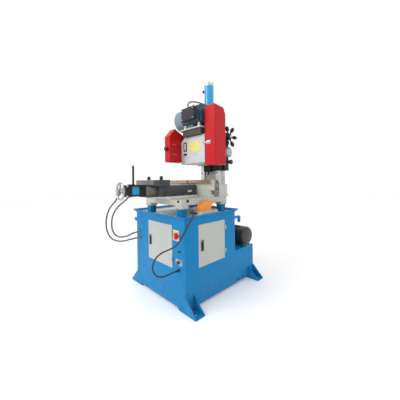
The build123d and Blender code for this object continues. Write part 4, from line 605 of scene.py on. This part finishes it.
FAR = 2000                          # millimetres, past the machine's ends
BLACK = (0.015, 0.015, 0.017)
MACHINED = (0.72, 0.73, 0.74)
BOSS_GREY = (0.24, 0.25, 0.25)
# The handwheel's chrome is darkened: painted dark reflections of surroundings, which the white studio doesn't
# give.
WHEEL_CHROME_PAINTED_DARK = (0.42, 0.42, 0.43)
# Painted shade: the block under the motor's plate is coloured near black for the shaded gap there.
SEAT_PAINTED_SHADE = (0.05, 0.05, 0.042)
# Painted shade: the inside of the guard, seen from below through its open bottom, is coloured dark red.
GUARD_PAINTED_SHADE = (0.045, 0.02, 0.02)
table_top = corners_mm("fixed_jaw_support")[0][2]
seat_top = corners_mm("main_motor")[0][2] - 8
jaw_top = corners_mm("jaw_carriage")[1][2]
CLUTCH_BOSS = 26                    # the boss stands this far out of the housing
housing_face = corners_mm("feed_housing")[1][0] - CLUTCH_BOSS
guard_low, guard_high = corners_mm("blade_guard")
guard_inside = {"X": (-35, 35), "Y": (guard_low[1] + 1, guard_high[1] - 1),
                "Z": (guard_low[2] - 1, guard_low[2] + 205)}
node_materials = {
    "base_casting": zoned("casting_with_pad", SLOT_COLOR["casting_beige"],
                          [({"Z": (table_top + 0.5, FAR)}, MACHINED, 0.8)], roughness=0.45, bump=0.3),
    # Below the motor's seat the plate is painted near black: painted shade for the gap under the plate.
    "motor_plate": zoned("motor_seat_painted_shade", SLOT_COLOR["plate_light"],
                         [({"Z": (0, seat_top - 0.5)}, SEAT_PAINTED_SHADE, 0.0)]),
    "jaw_plate": zoned("jaw_with_bolts", SLOT_COLOR["jaw_grey"],
                       [({"Z": (jaw_top + 0.5, FAR)}, BLACK, 0.0)]),
    "feed_housing": zoned("housing_with_boss", SLOT_COLOR["black_paint"],
                          [({"X": (housing_face + 0.5, FAR)}, BOSS_GREY, 0.2)]),
    # The guard's inside is painted dark: painted shade, not a finish.
    "blade_guard": zoned("guard_inside_painted_shade", SLOT_COLOR["guard_red"], [(guard_inside, GUARD_PAINTED_SHADE, 0.0)],
                         roughness=PAINT_ROUGHNESS["gloss"], bump=0.1, specular=0.16),
    "lift_tube": paint("lift_tube_gloss", SLOT_COLOR["cylinder_blue"], 0.2, specular=0.5),
    "handwheel": plated("wheel_chrome_painted_dark", WHEEL_CHROME_PAINTED_DARK),
    "hydraulic_motor": paint("pump_motor_gloss", SLOT_COLOR["pump_dark"], 0.24, specular=0.5),
    "lead_screw": threaded("screw_thread", SLOT_COLOR["steel_bright"], SCREW_PITCH),
}
print("Pieces with their own material:", sorted(node_materials))

# %% [markdown]
# ## Switch fronts
# Three controls sit above each other on the front panel: an isolator on a yellow plate, a green pilot lamp
# in a bright bezel, and a selector on a grey plate. They are one CAD node, so the same zones are used, row
# by row. In the lamp's row the front half, the lens, is green, and the ring behind it is metal.

# %% Switch fronts
LABEL_YELLOW = (0.80, 0.58, 0.03)
PLATE_WHITE = (0.74, 0.76, 0.76)
SELECTOR_GREY = (0.42, 0.43, 0.44)
LAMP_GREEN = (0.0, 0.17, 0.11)
BEZEL = (0.45, 0.46, 0.47)
ISOLATOR_ROW, LAMP_ROW, SELECTOR_ROW = (460, 700), (390, 450), (0, 385)
panel_front = corners_mm("switch_plates")[1][1]
node_materials["switch_plates"] = zoned("switch_fronts", PLATE_WHITE, [
    ({"Z": ISOLATOR_ROW, "Y": (-FAR, panel_front - 2.1)}, LABEL_YELLOW, 0.0),
    ({"Z": SELECTOR_ROW}, SELECTOR_GREY, 0.4),
    ({"Z": LAMP_ROW}, BEZEL, 0.9),
    ({"Z": LAMP_ROW, "Y": (-FAR, panel_front - 6.1)}, LAMP_GREEN, 0.0)], roughness=0.3)
print("Front panel at Y in mm:", round(panel_front, 1))

# %% [markdown]
# ## Fittings, handles and lever
# The pipe fittings are brass, but the port on the lift cylinder has a black plug, and the drains low on the
# cabinet were sprayed blue along with it. Height alone tells them apart, so the zones are three bands. The
# selector's knob is a dark teal plastic, unlike the other knobs, the isolator's handle a bright signal red,
# and the upright lever is browned steel with a black tip.

# %% Fittings and handles
PORT_BAND = (1730, 1772)
DRAIN_TOP = 100
SELECTOR_TEAL = (0.02, 0.13, 0.17)
SIGNAL_RED = (0.85, 0.025, 0.04)
LEVER_BROWN = (0.05, 0.028, 0.026)
TIP_LENGTH = 24
brass = SLOT_COLOR["fitting_brass"]
node_materials["pipe_fittings"] = zoned("fittings_by_height", SLOT_COLOR["cabinet_blue"], [
    ({"Z": (DRAIN_TOP, PORT_BAND[0])}, brass, 0.9),
    ({"Z": PORT_BAND}, BLACK, 0.0),
    ({"Z": (PORT_BAND[1], FAR)}, brass, 0.9)])
node_materials["selector_knob"] = plastic("selector_teal", SELECTOR_TEAL)
node_materials["isolator_knob"] = plastic("isolator_signal", SIGNAL_RED)
lever_tip = corners_mm("clamp_lever")[1][2] - TIP_LENGTH
node_materials["clamp_lever"] = zoned("lever_browned", LEVER_BROWN,
                                      [({"Z": (lever_tip, FAR)}, BLACK, 0.0)])
print("Black port between heights in mm:", PORT_BAND)

# %% [markdown]
# ## Dressing the CAD nodes
# Every CAD node gets one material: its own where one was made, and otherwise its slot's. The mesh itself
# isn't touched.

# %% Dress
for entry in record["subparts"]:
    node = frame["nodes"][entry["node"]]
    node.data.materials.clear()
    node.data.materials.append(node_materials.get(entry["node"], slot_materials[entry["material_slot"]]))
print("Dressed nodes:", len(record["subparts"]))

# %% [markdown]
# ## Working in edit mode
# Small pieces are modelled as by hand: a primitive is added and then shaped in edit mode. Operators act on
# whatever is selected, so `edit_faces` first clears the selection and then picks faces by a rule.
# `close_edit` recalculates normals, puts the piece's place into its mesh, and smooths all but sharp edges.

# %% Edit mode


def edit_faces(piece, wanted):
    """Open a piece in edit mode with just the wanted faces selected."""
    bpy.ops.object.select_all(action="DESELECT")
    piece.select_set(True)
    bpy.context.view_layer.objects.active = piece
    bpy.ops.object.mode_set(mode="EDIT")
    bpy.ops.mesh.select_mode(type="FACE")
    bpy.ops.mesh.select_all(action="DESELECT")
    mesh = bmesh.from_edit_mesh(piece.data)
    for face in mesh.faces:
        face.select_set(wanted(face))
    bmesh.update_edit_mesh(piece.data)


SMOOTH_ANGLE = math.radians(35)


def close_edit(piece):
    """Leave edit mode, put the place into the mesh, and smooth all but sharp edges."""
    bpy.ops.mesh.select_all(action="SELECT")
    bpy.ops.mesh.normals_make_consistent(inside=False)
    bpy.ops.object.mode_set(mode="OBJECT")
    bpy.ops.object.transform_apply(location=True, rotation=True, scale=True)
    bpy.ops.object.shade_smooth_by_angle(angle=SMOOTH_ANGLE)
    return piece


print("Edges sharper than this stay sharp, in degrees:", round(math.degrees(SMOOTH_ANGLE)))

# %% [markdown]
# ## Turned pieces and blocks
# Most small parts come off a lathe or a mill. `turned` starts from a disc and draws it up through rings, as
# a lathe would cut them; six sides make a nut. A spin of a profile would do too, but rings are easier to
# read and close by themselves. `boxed` starts from a block and rounds its edges, and `sink` presses a panel
# into one face.

# %% Turned and boxed


def turned(name, profile, sides=24):
    """A disc drawn up through (radius, height) rings in millimetres. Six sides make a nut."""
    bpy.ops.object.select_all(action="DESELECT")
    bpy.ops.mesh.primitive_circle_add(vertices=sides, radius=profile[0][0] * MM, fill_type="NGON",
                                      location=(0, 0, profile[0][1] * MM))
    piece = bpy.context.object
    piece.name = name
    bpy.ops.object.mode_set(mode="EDIT")
    bpy.ops.mesh.select_all(action="SELECT")
    for (before, low), (after, high) in zip(profile, profile[1:]):
        bpy.ops.mesh.extrude_region_move(TRANSFORM_OT_translate={"value": (0, 0, (high - low) * MM)})
        bpy.ops.transform.resize(value=(after / before, after / before, 1), center_override=(0, 0, high * MM))
    return close_edit(piece)


def boxed(name, low, high, corner, steps=2, flat_axis=None):
    """A block between two corners in millimetres, its edges rounded. With flat_axis, only edges along it."""
    bpy.ops.object.select_all(action="DESELECT")
    size = [(b - a) * MM for a, b in zip(low, high)]
    middle = [(a + b) / 2 * MM for a, b in zip(low, high)]
    bpy.ops.mesh.primitive_cube_add(size=1, location=middle, scale=size)
    piece = bpy.context.object
    piece.name = name
    bpy.ops.object.transform_apply(location=True, rotation=True, scale=True)
    bpy.ops.object.mode_set(mode="EDIT")
    bpy.ops.mesh.select_mode(type="EDGE")
    mesh = bmesh.from_edit_mesh(piece.data)
    for edge in mesh.edges:
        run = edge.verts[1].co - edge.verts[0].co
        edge.select_set(flat_axis is None or abs(run["XYZ".index(flat_axis)]) > 0.9 * run.length)
    bmesh.update_edit_mesh(piece.data)
    bpy.ops.mesh.bevel(offset=corner * MM, segments=steps, affect="EDGES")
    return close_edit(piece)


def sink(piece, direction, margin, depth):
    """Press a panel into the face that looks along direction, leaving a border."""
    facing = Vector(direction)
    flat = max((p for p in piece.data.polygons if p.normal.dot(facing) > 0.9), key=lambda p: p.area).index
    edit_faces(piece, lambda face: face.index == flat)
    bpy.ops.mesh.inset(thickness=margin * MM, depth=0)
    bpy.ops.mesh.extrude_region_move(TRANSFORM_OT_translate={"value": tuple(-depth * MM * facing)})
    return close_edit(piece)


LEFT, RIGHT, FRONT, UP = (-1, 0, 0), (1, 0, 0), (0, -1, 0), (0, 0, 1)
print("Directions:", LEFT, RIGHT, FRONT, UP)

# %% [markdown]
# ## Hanging pieces on bodies
# The machine moves: the head slides, the jaw travels, the cover swings. A screw must go along with the body
# that it holds, so `hang` gives a finished piece its material, its slot's unless a finish is given, and rides
# it on a CAD body. `place` copies a master to its spots with its Z axis along a direction, each copy with its
# own mesh, and joins the copies into one piece.

# %% Hang and place


def hang(piece, body, slot, finish=None):
    """Give a finished piece its material, its slot's unless a finish is given, and hang it on a CAD body."""
    piece.data.materials.clear()
    piece.data.materials.append(finish or slot_materials[slot])
    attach(piece, body)
    print(piece.name, "on", body, "faces:", len(piece.data.polygons))
    return piece


def place(name, master, spots, direction, body, slot, finish=None):
    """Copies of a master at its spots in millimetres, with its Z axis along direction, as one piece."""
    turn = Vector((0, 0, 1)).rotation_difference(Vector(direction)).to_matrix().to_4x4()
    copies = []
    for spot in spots:
        copy = master.copy()
        copy.data = master.data.copy()
        copy.data.transform(Matrix.Translation(Vector(spot) * MM) @ turn)
        bpy.context.collection.objects.link(copy)
        copies.append(copy)
    bpy.ops.object.select_all(action="DESELECT")
    for copy in copies:
        copy.select_set(True)
    bpy.context.view_layer.objects.active = copies[0]
    if len(copies) > 1:
        bpy.ops.object.join()
    bpy.data.objects.remove(master)
    bpy.context.object.name = name
    return hang(bpy.context.object, body, slot, finish)


# %% [markdown]
# ## Screw heads and nuts
# Three kinds of fastener hold the machine. A socket screw has a ring and a key hole, a dome screw a rounded
# head with a shallow dimple, and a nut six sides with a turned-down top and the end of its stud. Threads
# would never be seen, so only heads are made. Each has its foot at the origin and looks up the Z axis,
# ready to be placed.

# %% Fasteners


def socket_screw(radius, height):
    """A socket head with a key hole."""
    shares = [(1, 0), (1, 0.85), (0.88, 1), (0.52, 1), (0.5, 0.4)]
    return turned("socket_screw", [(radius * across, height * up) for across, up in shares])


def dome_screw(radius):
    """A rounded screw head with a dimple."""
    shares = [(1, 0), (0.96, 0.25), (0.8, 0.48), (0.5, 0.62), (0.3, 0.64), (0.26, 0.4)]
    return turned("dome_screw", [(radius * across, radius * up) for across, up in shares], 16)


def hex_nut(radius, height):
    """A nut with chamfered corners and a stud end."""
    shares = [(1, 0), (1, 0.85), (0.86, 1), (0.55, 1), (0.52, 1.3), (0.4, 1.4)]
    return turned("hex_nut", [(radius * across, height * up) for across, up in shares], 6)


print("Fasteners:", [kind.__name__ for kind in (socket_screw, dome_screw, hex_nut)])

# %% [markdown]
# ## Screws in the column ways
# The bright ways are bolted to the column by screws sunk level with the ground face, so the carriage slides
# over them. A boolean hole in the way would change the CAD mesh. A head that stands only two tenths of a
# millimetre proud reads as a sunk screw, and clears the carriage.

# %% Way screws
WAY_SCREW_STEP = 79
WAY_SCREW_FOOT = 917
ways_low, ways_high = corners_mm("column_ways")
way_screw = turned("way_screw", [(7.5, -0.1), (7.5, 0.12), (6.8, 0.2), (3.6, 0.2), (3.4, 0.06)])
way_spots = [(x, ways_low[1], z) for x in (ways_low[0] + 12, ways_high[0] - 30)
             for z in range(WAY_SCREW_FOOT, int(ways_high[2]), WAY_SCREW_STEP)]
place("way_screws", way_screw, way_spots, FRONT, "base", "black_paint")

# %% [markdown]
# ## Nuts and bolts of the vise
# Four tie rods hold the clamp cylinder together, with a nut on the end of each. Two bolts show on the base
# casting, two on the column's foot, and a row of socket screws holds the bed. All are standard fasteners,
# so they are copies of the same heads, seated on the faces that carry them.

# %% Vise fasteners
VISE_AXIS = 856
TIE_ROD = 36                        # from the axis, both ways
tie_rod_end = corners_mm("cylinder_frame")[0][1] + 8
rod_spots = [(x, tie_rod_end, VISE_AXIS + z) for x in (-TIE_ROD, TIE_ROD) for z in (-TIE_ROD, TIE_ROD)]
place("tie_rod_nuts", hex_nut(9, 7), rod_spots, FRONT, "base", "hinge_zinc")

CASTING_BOLT_Z = 772
casting_low, casting_high = corners_mm("base_casting")
side_bolt_spot = (casting_high[0], casting_low[1] + 65, CASTING_BOLT_Z)
place("casting_side_bolt", socket_screw(10.5, 6), [side_bolt_spot], RIGHT, "base", "black_paint")
front_bolt_spot = (casting_high[0] - 28, casting_low[1], CASTING_BOLT_Z)
place("casting_front_bolt", socket_screw(9, 6), [front_bolt_spot], FRONT, "base", "black_paint")

COLUMN_FOOT_TOP = 834
COLUMN_BOLTS_X = (218, 243)
foot_spots = [(x, ways_low[1] + 6, COLUMN_FOOT_TOP) for x in COLUMN_BOLTS_X]
place("column_foot_bolts", hex_nut(5, 5), foot_spots, UP, "base", "black_paint")

BED_SCREWS_Y = range(-430, -159, 90)
bed_low, bed_high = corners_mm("vise_bed")
bed_spots = [(bed_high[0], y, bed_low[2] + 12) for y in BED_SCREWS_Y]
place("bed_screws", socket_screw(6, 5), bed_spots, RIGHT, "base", "black_paint")

# %% [markdown]
# ## Nuts of the lift cylinder
# A hydraulic cylinder on top of the column lifts the head. Its flange is held by four screws, four posts on
# its top cap carry nuts with open ends, and a plug closes the port on its left. The spots are worked out
# from the cylinder's axis, so they stay with it.

# %% Lift fasteners
flange_low, flange_high = corners_mm("lift_caps")
tube_low, tube_high = corners_mm("lift_tube")
lift_x = (flange_low[0] + flange_high[0]) / 2
lift_y = (flange_low[1] + flange_high[1]) / 2


def square_round_lift(reach, height):
    """Four spots round the lift cylinder's axis."""
    return [(lift_x + i * reach, lift_y + j * reach, height) for i in (-1, 1) for j in (-1, 1)]


FLANGE_REACH, POST_REACH = 37, 22   # from the axis, both ways
post_top = tube_high[2] + 20
flange_spots = square_round_lift(FLANGE_REACH, tube_low[2])
place("lift_flange_screws", socket_screw(6.5, 7), flange_spots, UP, "base", "black_paint")
post_nut = turned("post_nut", [(11, 0), (11, 7), (9.6, 8.5), (6.6, 8.5), (6.4, 7.8)], 6)
place("lift_post_nuts", post_nut, square_round_lift(POST_REACH, post_top), UP, "base", "hinge_zinc")

PORT_OUT, PORT_Z = 18, 1750
port_plug = turned("plug", [(10.5, -1), (13, 1), (13, 11), (10, 15), (4, 16)])
port_spot = (tube_low[0] - PORT_OUT, lift_y, PORT_Z)
place("lift_port_plug", port_plug, [port_spot], LEFT, "base", "knob_black")

# %% [markdown]
# ## Feed housing and capstan
# The dark housing on the column holds the pinion that feeds the head by hand. Its cover has two rows of
# screws, its clutch boss a turned dial, and the capstan is held by a nut on the pinion's shaft. The dial is
# turned from rings like a screw head, with a step and a button in the middle.

# %% Feed fasteners
CLUTCH_Z = 1172
COVER_SCREW_ASIDE = 19
housing_low, housing_high = corners_mm("feed_housing")
housing_mid = (housing_low[1] + housing_high[1]) / 2
cover_screws_z = (housing_low[2] + 10, 1105, 1235, housing_high[2] - 10)
housing_spots = [(housing_face, housing_mid + aside, z) for aside in (-COVER_SCREW_ASIDE, COVER_SCREW_ASIDE)
                 for z in cover_screws_z]
place("housing_screws", socket_screw(4.5, 4), housing_spots, RIGHT, "base", "black_paint")
dial = turned("dial", [(27, -0.1), (27, 3), (24, 5), (17, 5), (16, 2.5), (9, 2.5), (8, 9), (5, 10)])
place("clutch_dial", dial, [(housing_high[0], housing_mid, CLUTCH_Z)], RIGHT, "base", "cap_alu")

capstan_low, capstan_high = corners_mm("capstan")
shaft_end = (corners_mm("feed_pinion")[1][0], (capstan_low[1] + capstan_high[1]) / 2,
             (capstan_low[2] + capstan_high[2]) / 2)
place("capstan_nut", hex_nut(14, 9), [shaft_end], RIGHT, "capstan", "hinge_zinc")

# %% [markdown]
# ## Handwheel and motor
# A nut holds the handwheel on the end of the screw, and turns with it. Four nuts hold the motor's feet,
# and dome screws close the lid of the terminal box. At the corners of its plate, studs set the height that
# tightens the belts: each carries a washer, a nut and a lock nut. A washer is one more turned piece, and the
# two nuts are copies of one, so a stack of three pieces makes each corner.

# %% Wheel and motor fasteners
wheel_low, wheel_high = corners_mm("handwheel")
wheel_nut_spot = ((wheel_low[0] + wheel_high[0]) / 2, corners_mm("lead_screw")[0][1] + 1.9,
                  (wheel_low[2] + wheel_high[2]) / 2)
place("wheel_nut", hex_nut(16, 9), [wheel_nut_spot], FRONT, "handwheel", "hinge_zinc")

MOTOR_FOOT_X, MOTOR_FOOT_Y = (172, 208), (-234, -70)
MOTOR_FOOT_THICK = 14
plate_low, plate_high = corners_mm("motor_plate")
motor_spots = [(x, y, plate_high[2] + MOTOR_FOOT_THICK) for x in MOTOR_FOOT_X for y in MOTOR_FOOT_Y]
place("motor_foot_nuts", hex_nut(10, 8), motor_spots, UP, "head", "hinge_zinc")

stud_x = (plate_low[0] + 55, plate_high[0] - 26)
stud_y = (plate_low[1] + 16, plate_high[1] - 16)
WASHER_THICK = 3
STUD_NUT = 12
washer = turned("washer", [(16, 0), (16, 2.4), (15.4, WASHER_THICK), (9, WASHER_THICK)])
washer_spots = [(x, y, plate_high[2]) for x in stud_x for y in stud_y]
place("plate_stud_washers", washer, washer_spots, UP, "head", "hinge_zinc")
nut_spots = [(x, y, z + WASHER_THICK + up) for x, y, z in washer_spots for up in (0, STUD_NUT)]
place("plate_stud_nuts", hex_nut(14.5, STUD_NUT), nut_spots, UP, "head", "hinge_zinc")

terminal_low, terminal_high = corners_mm("terminal_box")
lid_spots = [(x, terminal_low[1], z) for x in (terminal_low[0] + 14, terminal_high[0] - 14)
             for z in (terminal_low[2] + 14, terminal_high[2] - 22)]
place("terminal_lid_screws", dome_screw(4.5), lid_spots, FRONT, "head", "hinge_zinc")

# %% [markdown]
# ## Guard and tank
# Straps with dome screws hold the blade guard. Low on the cabinet's right side the oil tank has two drain
# plugs, and behind the cabinet a ribbed filler cap. The cap is turned with more sides, since it is wide and
# seen from above.

# %% Guard and tank fasteners
STRAP_BACK, STRAP_UP = (34, 59), (63, 146)
strap_spots = [(guard_high[0], guard_low[1] + back, guard_low[2] + up)
               for back in STRAP_BACK for up in STRAP_UP]
place("guard_strap_screws", dome_screw(4), strap_spots, RIGHT, "head", "hinge_zinc")

DRAINS_Y, DRAIN_Z = (186, 256), 46
drain_face = corners_mm("pipe_fittings")[1][0]
drain_spots = [(drain_face, y, DRAIN_Z) for y in DRAINS_Y]
place("drain_plugs", hex_nut(8.5, 6), drain_spots, RIGHT, "base", "cabinet_blue")

FILLER_NECK = (-234.5, 290, 337)
cap = turned("cap", [(27, 0), (28, 3), (28, 11), (24, 14), (9, 14), (8, 20), (5, 21)], 32)
place("tank_filler_cap", cap, [FILLER_NECK], UP, "base", "knob_black")

# %% [markdown]
# ## Cowl of the pump motor
# The pump motor's fan sits under a pressed cowl with a domed end and ring grooves. A sphere cut flat would
# give the dome but no rings, so it is turned from rings that step back a little at each groove.

# %% Pump cowl
COWL_RINGS = ((83.8, -17), (83, -12), (79, -5), (71, 2), (70.2, 0.8), (60, 7.6), (59.2, 6.4), (48, 11.4),
              (47.2, 10.2), (35, 14), (34.2, 12.8), (20, 15.6), (9, 16))
PUMP_Y, PUMP_Z = 350, 398
dome_spot = (corners_mm("hydraulic_motor")[1][0], PUMP_Y, PUMP_Z)
place("pump_cowl_dome", turned("dome", COWL_RINGS, 64), [dome_spot], RIGHT, "base", "pump_dark",
      node_materials["hydraulic_motor"])

# %% [markdown]
# ## Bare plates
# The gearbox carries a plain yellow plate with four rivets, and the bed a small bright one. A flat coloured
# patch in the casting's material would do from afar, but it would have no edge. So a plate is a thin block
# with rounded corners, and its pressed border is an inset face pushed back by less than half a millimetre,
# which catches the light as a real pressed plate does.

# %% Plates
gearbox_front = corners_mm("gearbox")[0][1]
PLATE_THICK = 1.4
PLATE_X, PLATE_Z = (147, 268), (1160, 1244)


def bare_plate(name, low, high, direction, body, slot, border):
    """A thin plate with rounded corners and a pressed border."""
    axis = "XYZ"[[abs(value) for value in direction].index(1)]
    plate = boxed(name, low, high, 4, steps=3, flat_axis=axis)
    return hang(sink(plate, direction, border, 0.4), body, slot)


plate_front = gearbox_front - PLATE_THICK
bare_plate("gearbox_plate", (PLATE_X[0], plate_front, PLATE_Z[0]), (PLATE_X[1], gearbox_front, PLATE_Z[1]),
           FRONT, "head", "label_yellow", 4)
RIVET_IN = 5
rivet_spots = [(x, plate_front, z) for x in (PLATE_X[0] + RIVET_IN, PLATE_X[1] - RIVET_IN)
               for z in (PLATE_Z[0] + RIVET_IN, PLATE_Z[1] - RIVET_IN)]
place("plate_rivets", dome_screw(2.4), rivet_spots, FRONT, "head", "hinge_zinc")

BED_PLATE_Y, BED_PLATE_Z = (-196, -146), (830, 846)
bare_plate("bed_plate", (bed_high[0], BED_PLATE_Y[0], BED_PLATE_Z[0]),
           (bed_high[0] + 1.2, BED_PLATE_Y[1], BED_PLATE_Z[1]), RIGHT, "base", "plate_light", 2)

# %% [markdown]
# ## Oil glass and drain
# Beside the plate an upright oil glass shows the gearbox's level, in a dark frame, and below it a dark
# rounded bar closes the drain. Cutting the opening with a boolean would leave long thin triangles, so the
# frame is a block with strongly rounded corners whose middle is sunk, and the pane sits in it.

# %% Oil glass
GLASS_X, GLASS_Z = (80, 112), (1172, 1248)
PANE_IN = 9
BAR_X, BAR_Z = (80, 114), (1138, 1154)
glass_frame = boxed("oil_glass_frame", (GLASS_X[0], gearbox_front - 7, GLASS_Z[0]),
                    (GLASS_X[1], gearbox_front, GLASS_Z[1]), 10, steps=4, flat_axis="Y")
hang(sink(glass_frame, FRONT, 7, 4), "head", "black_paint")
pane = boxed("oil_glass", (GLASS_X[0] + PANE_IN, gearbox_front - 5, GLASS_Z[0] + PANE_IN),
             (GLASS_X[1] - PANE_IN, gearbox_front - 2.6, GLASS_Z[1] - PANE_IN), 6, steps=4, flat_axis="Y")
hang(sink(pane, FRONT, 2, 0.5), "head", "tray_light")
drain_bar = boxed("oil_drain_bar", (BAR_X[0], gearbox_front - 8, BAR_Z[0]),
                  (BAR_X[1], gearbox_front, BAR_Z[1]), 7, steps=4, flat_axis="Y")
hang(sink(drain_bar, FRONT, 3, 1), "head", "black_paint")

# %% [markdown]
# ## Clasp of the belt cover
# A toggle clasp holds the belt cover shut: a bright lever over a base plate. The real one is bent from
# strip, which a drawn profile could give, but at this size two rounded blocks with sunk faces read the same.
# Both swing away with the cover, so they ride on it.

# %% Clasp
CLASP_Z = 1217
BASE_X, LEVER_X = (340, 386), (310, 378)
cover_front = corners_mm("belt_cover")[0][1]
base_front = cover_front - 3
clasp_base = boxed("clasp_base", (BASE_X[0], base_front, CLASP_Z - 13),
                   (BASE_X[1], cover_front, CLASP_Z + 13), 3, flat_axis="Y")
hang(sink(clasp_base, FRONT, 3, 0.8), "belt_cover", "hinge_zinc")
clasp_lever = boxed("clasp_lever", (LEVER_X[0], base_front - 6, CLASP_Z - 8),
                    (LEVER_X[1], base_front, CLASP_Z + 8), 2.5)
hang(sink(clasp_lever, FRONT, 3, 1.2), "belt_cover", "chrome")

# %% [markdown]
# ## Ribs on the treadle
# The foot treadle has raised cross ribs so that a shoe doesn't slip. A bump in the material would vanish at
# the treadle's edge, where ribs show best. So they are one rounded bar, copied down the treadle's slope, and
# they ride on it, so they tip with it when it is pressed.

# %% Treadle ribs
RIB_COUNT, RIB_STEP = 6, 11
RIB_TOP = 716.8
TREADLE_SLOPE = 3.0 / 142
tread_low, tread_high = corners_mm("pedal_treadle")
treadle_mid = (tread_low[0] + tread_high[0]) / 2
first_rib = tread_high[1] - 10
rib = boxed("rib", (-17, -2, 0), (17, 2, 2.2), 0.8)
rib_spots = [(treadle_mid, first_rib - RIB_STEP * i, RIB_TOP - RIB_STEP * i * TREADLE_SLOPE)
             for i in range(RIB_COUNT)]
place("treadle_ribs", rib, rib_spots, UP, "pedal_treadle", "knob_black")

# %% [markdown]
# ## Hose ends
# Each hose is crimped into a ferrule where it meets a fitting: two on the clamp cylinder's left side and
# two on the front panel. The crimp shows as waists in the sleeve, which a lathe profile with a few rings
# gives directly.

# %% Hose ends
HOSE_PORTS_Y = (-683, -582)
HOSE_PORT_Z = 838
PANEL_PORTS = ((-281, 476), (-276, 427))
FERRULE_RINGS = ((8.6, 0), (8.6, 4), (7.9, 5), (7.9, 9), (8.6, 10), (8.6, 14), (7.9, 15), (7.9, 22),
                 (7.2, 24))
port_x = corners_mm("cylinder_frame")[0][0] - 20
cylinder_ports = [(port_x, y, HOSE_PORT_Z) for y in HOSE_PORTS_Y]
place("hose_ends_cylinder", turned("ferrule", FERRULE_RINGS), cylinder_ports, LEFT, "base", "hinge_zinc")
panel_ports = [(x, panel_front - 26, z) for x, z in PANEL_PORTS]
place("hose_ends_panel", turned("ferrule", FERRULE_RINGS), panel_ports, FRONT, "base", "hinge_zinc")

# %% [markdown]
# ## Cords
# Two hoses run from the vise to the cabinet, a cord from the cabinet to the foot pedal, and a cable from
# the motor's terminal box to the head. A tube with straight runs and arcs would look like bent wire. So
# each cord repeats its route from the CAD model as the control points of one smooth spline, which cuts a
# little inside the corners, and a round bevel gives it its thickness. Each takes the place of its CAD node.

# %% Cords


def mm_points(points):
    """Points in millimetres as metres."""
    return [tuple(value * MM for value in point) for point in points]


def lay_cord(name, node, points, diameter, length, body, slot):
    """A round cord along its route. It stands for the CAD node."""
    curve = bpy.data.curves.new(name, "CURVE")
    curve.dimensions = "3D"
    spline = curve.splines.new("NURBS")
    spline.points.add(len(points) - 1)
    for point, spot in zip(spline.points, points):
        point.co = (*spot, 1)
    spline.order_u = 3
    spline.use_endpoint_u = True
    curve.resolution_u = 10
    curve.bevel_depth = diameter / 2
    curve.bevel_resolution = 5
    curve.use_fill_caps = True
    piece = bpy.data.objects.new(name, curve)
    bpy.context.collection.objects.link(piece)
    curve.materials.append(slot_materials[slot])
    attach(piece, body)
    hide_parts(node)
    print(name, "length in metres:", length)
    return piece


pedal_route = mm_points([
    (271, -462, 289), (271, -515, 289), (271, -580, 284), (271, -632, 312), (271, -656, 366),
    (271, -638, 420), (272, -586, 450), (278, -524, 458), (298, -476, 478), (326, -452, 530),
    (352, -436, 596), (377, -417, 646), (383, -396, 682), (365, -376, 709), (329, -356, 709),
    (291, -338, 691), (271, -306, 675.3), (271, -271, 675.3)])
lower_hose_route = mm_points([
    (-62, -683, 838), (-130, -683, 838), (-230, -670, 772), (-345, -674, 712), (-425, -674, 620),
    (-450, -668, 520), (-425, -652, 448), (-372, -625, 415), (-315, -580, 410), (-276, -516, 427),
    (-276, -460, 427)])
upper_hose_route = mm_points([
    (-62, -582, 838), (-122, -582, 838), (-205, -590, 780), (-300, -622, 720), (-375, -640, 640),
    (-402, -640, 556), (-398, -632, 492), (-370, -612, 452), (-328, -580, 444), (-292, -540, 456),
    (-281, -500, 476), (-281, -460, 476)])
motor_route = mm_points([
    (196, -267, 1503), (196, -267, 1537), (200, -240, 1558), (206, -197, 1566), (215, -142, 1566),
    (229, -88, 1556), (245, -38, 1526), (255, 2, 1482), (256.3, 24.85, 1438), (256.3, 24.85, 1400)])
lay_cord("pedal_cord_line", "pedal_cord", pedal_route, 0.010, 0.893, "base", "cord_black")
lay_cord("lower_hose_line", "vise_hose_lower", lower_hose_route, 0.013, 0.882, "base", "hose_grey")
lay_cord("upper_hose_line", "vise_hose_upper", upper_hose_route, 0.013, 0.779, "base", "hose_grey")
lay_cord("motor_cable_line", "motor_cable", motor_route, 0.010, 0.428, "head", "cord_black")
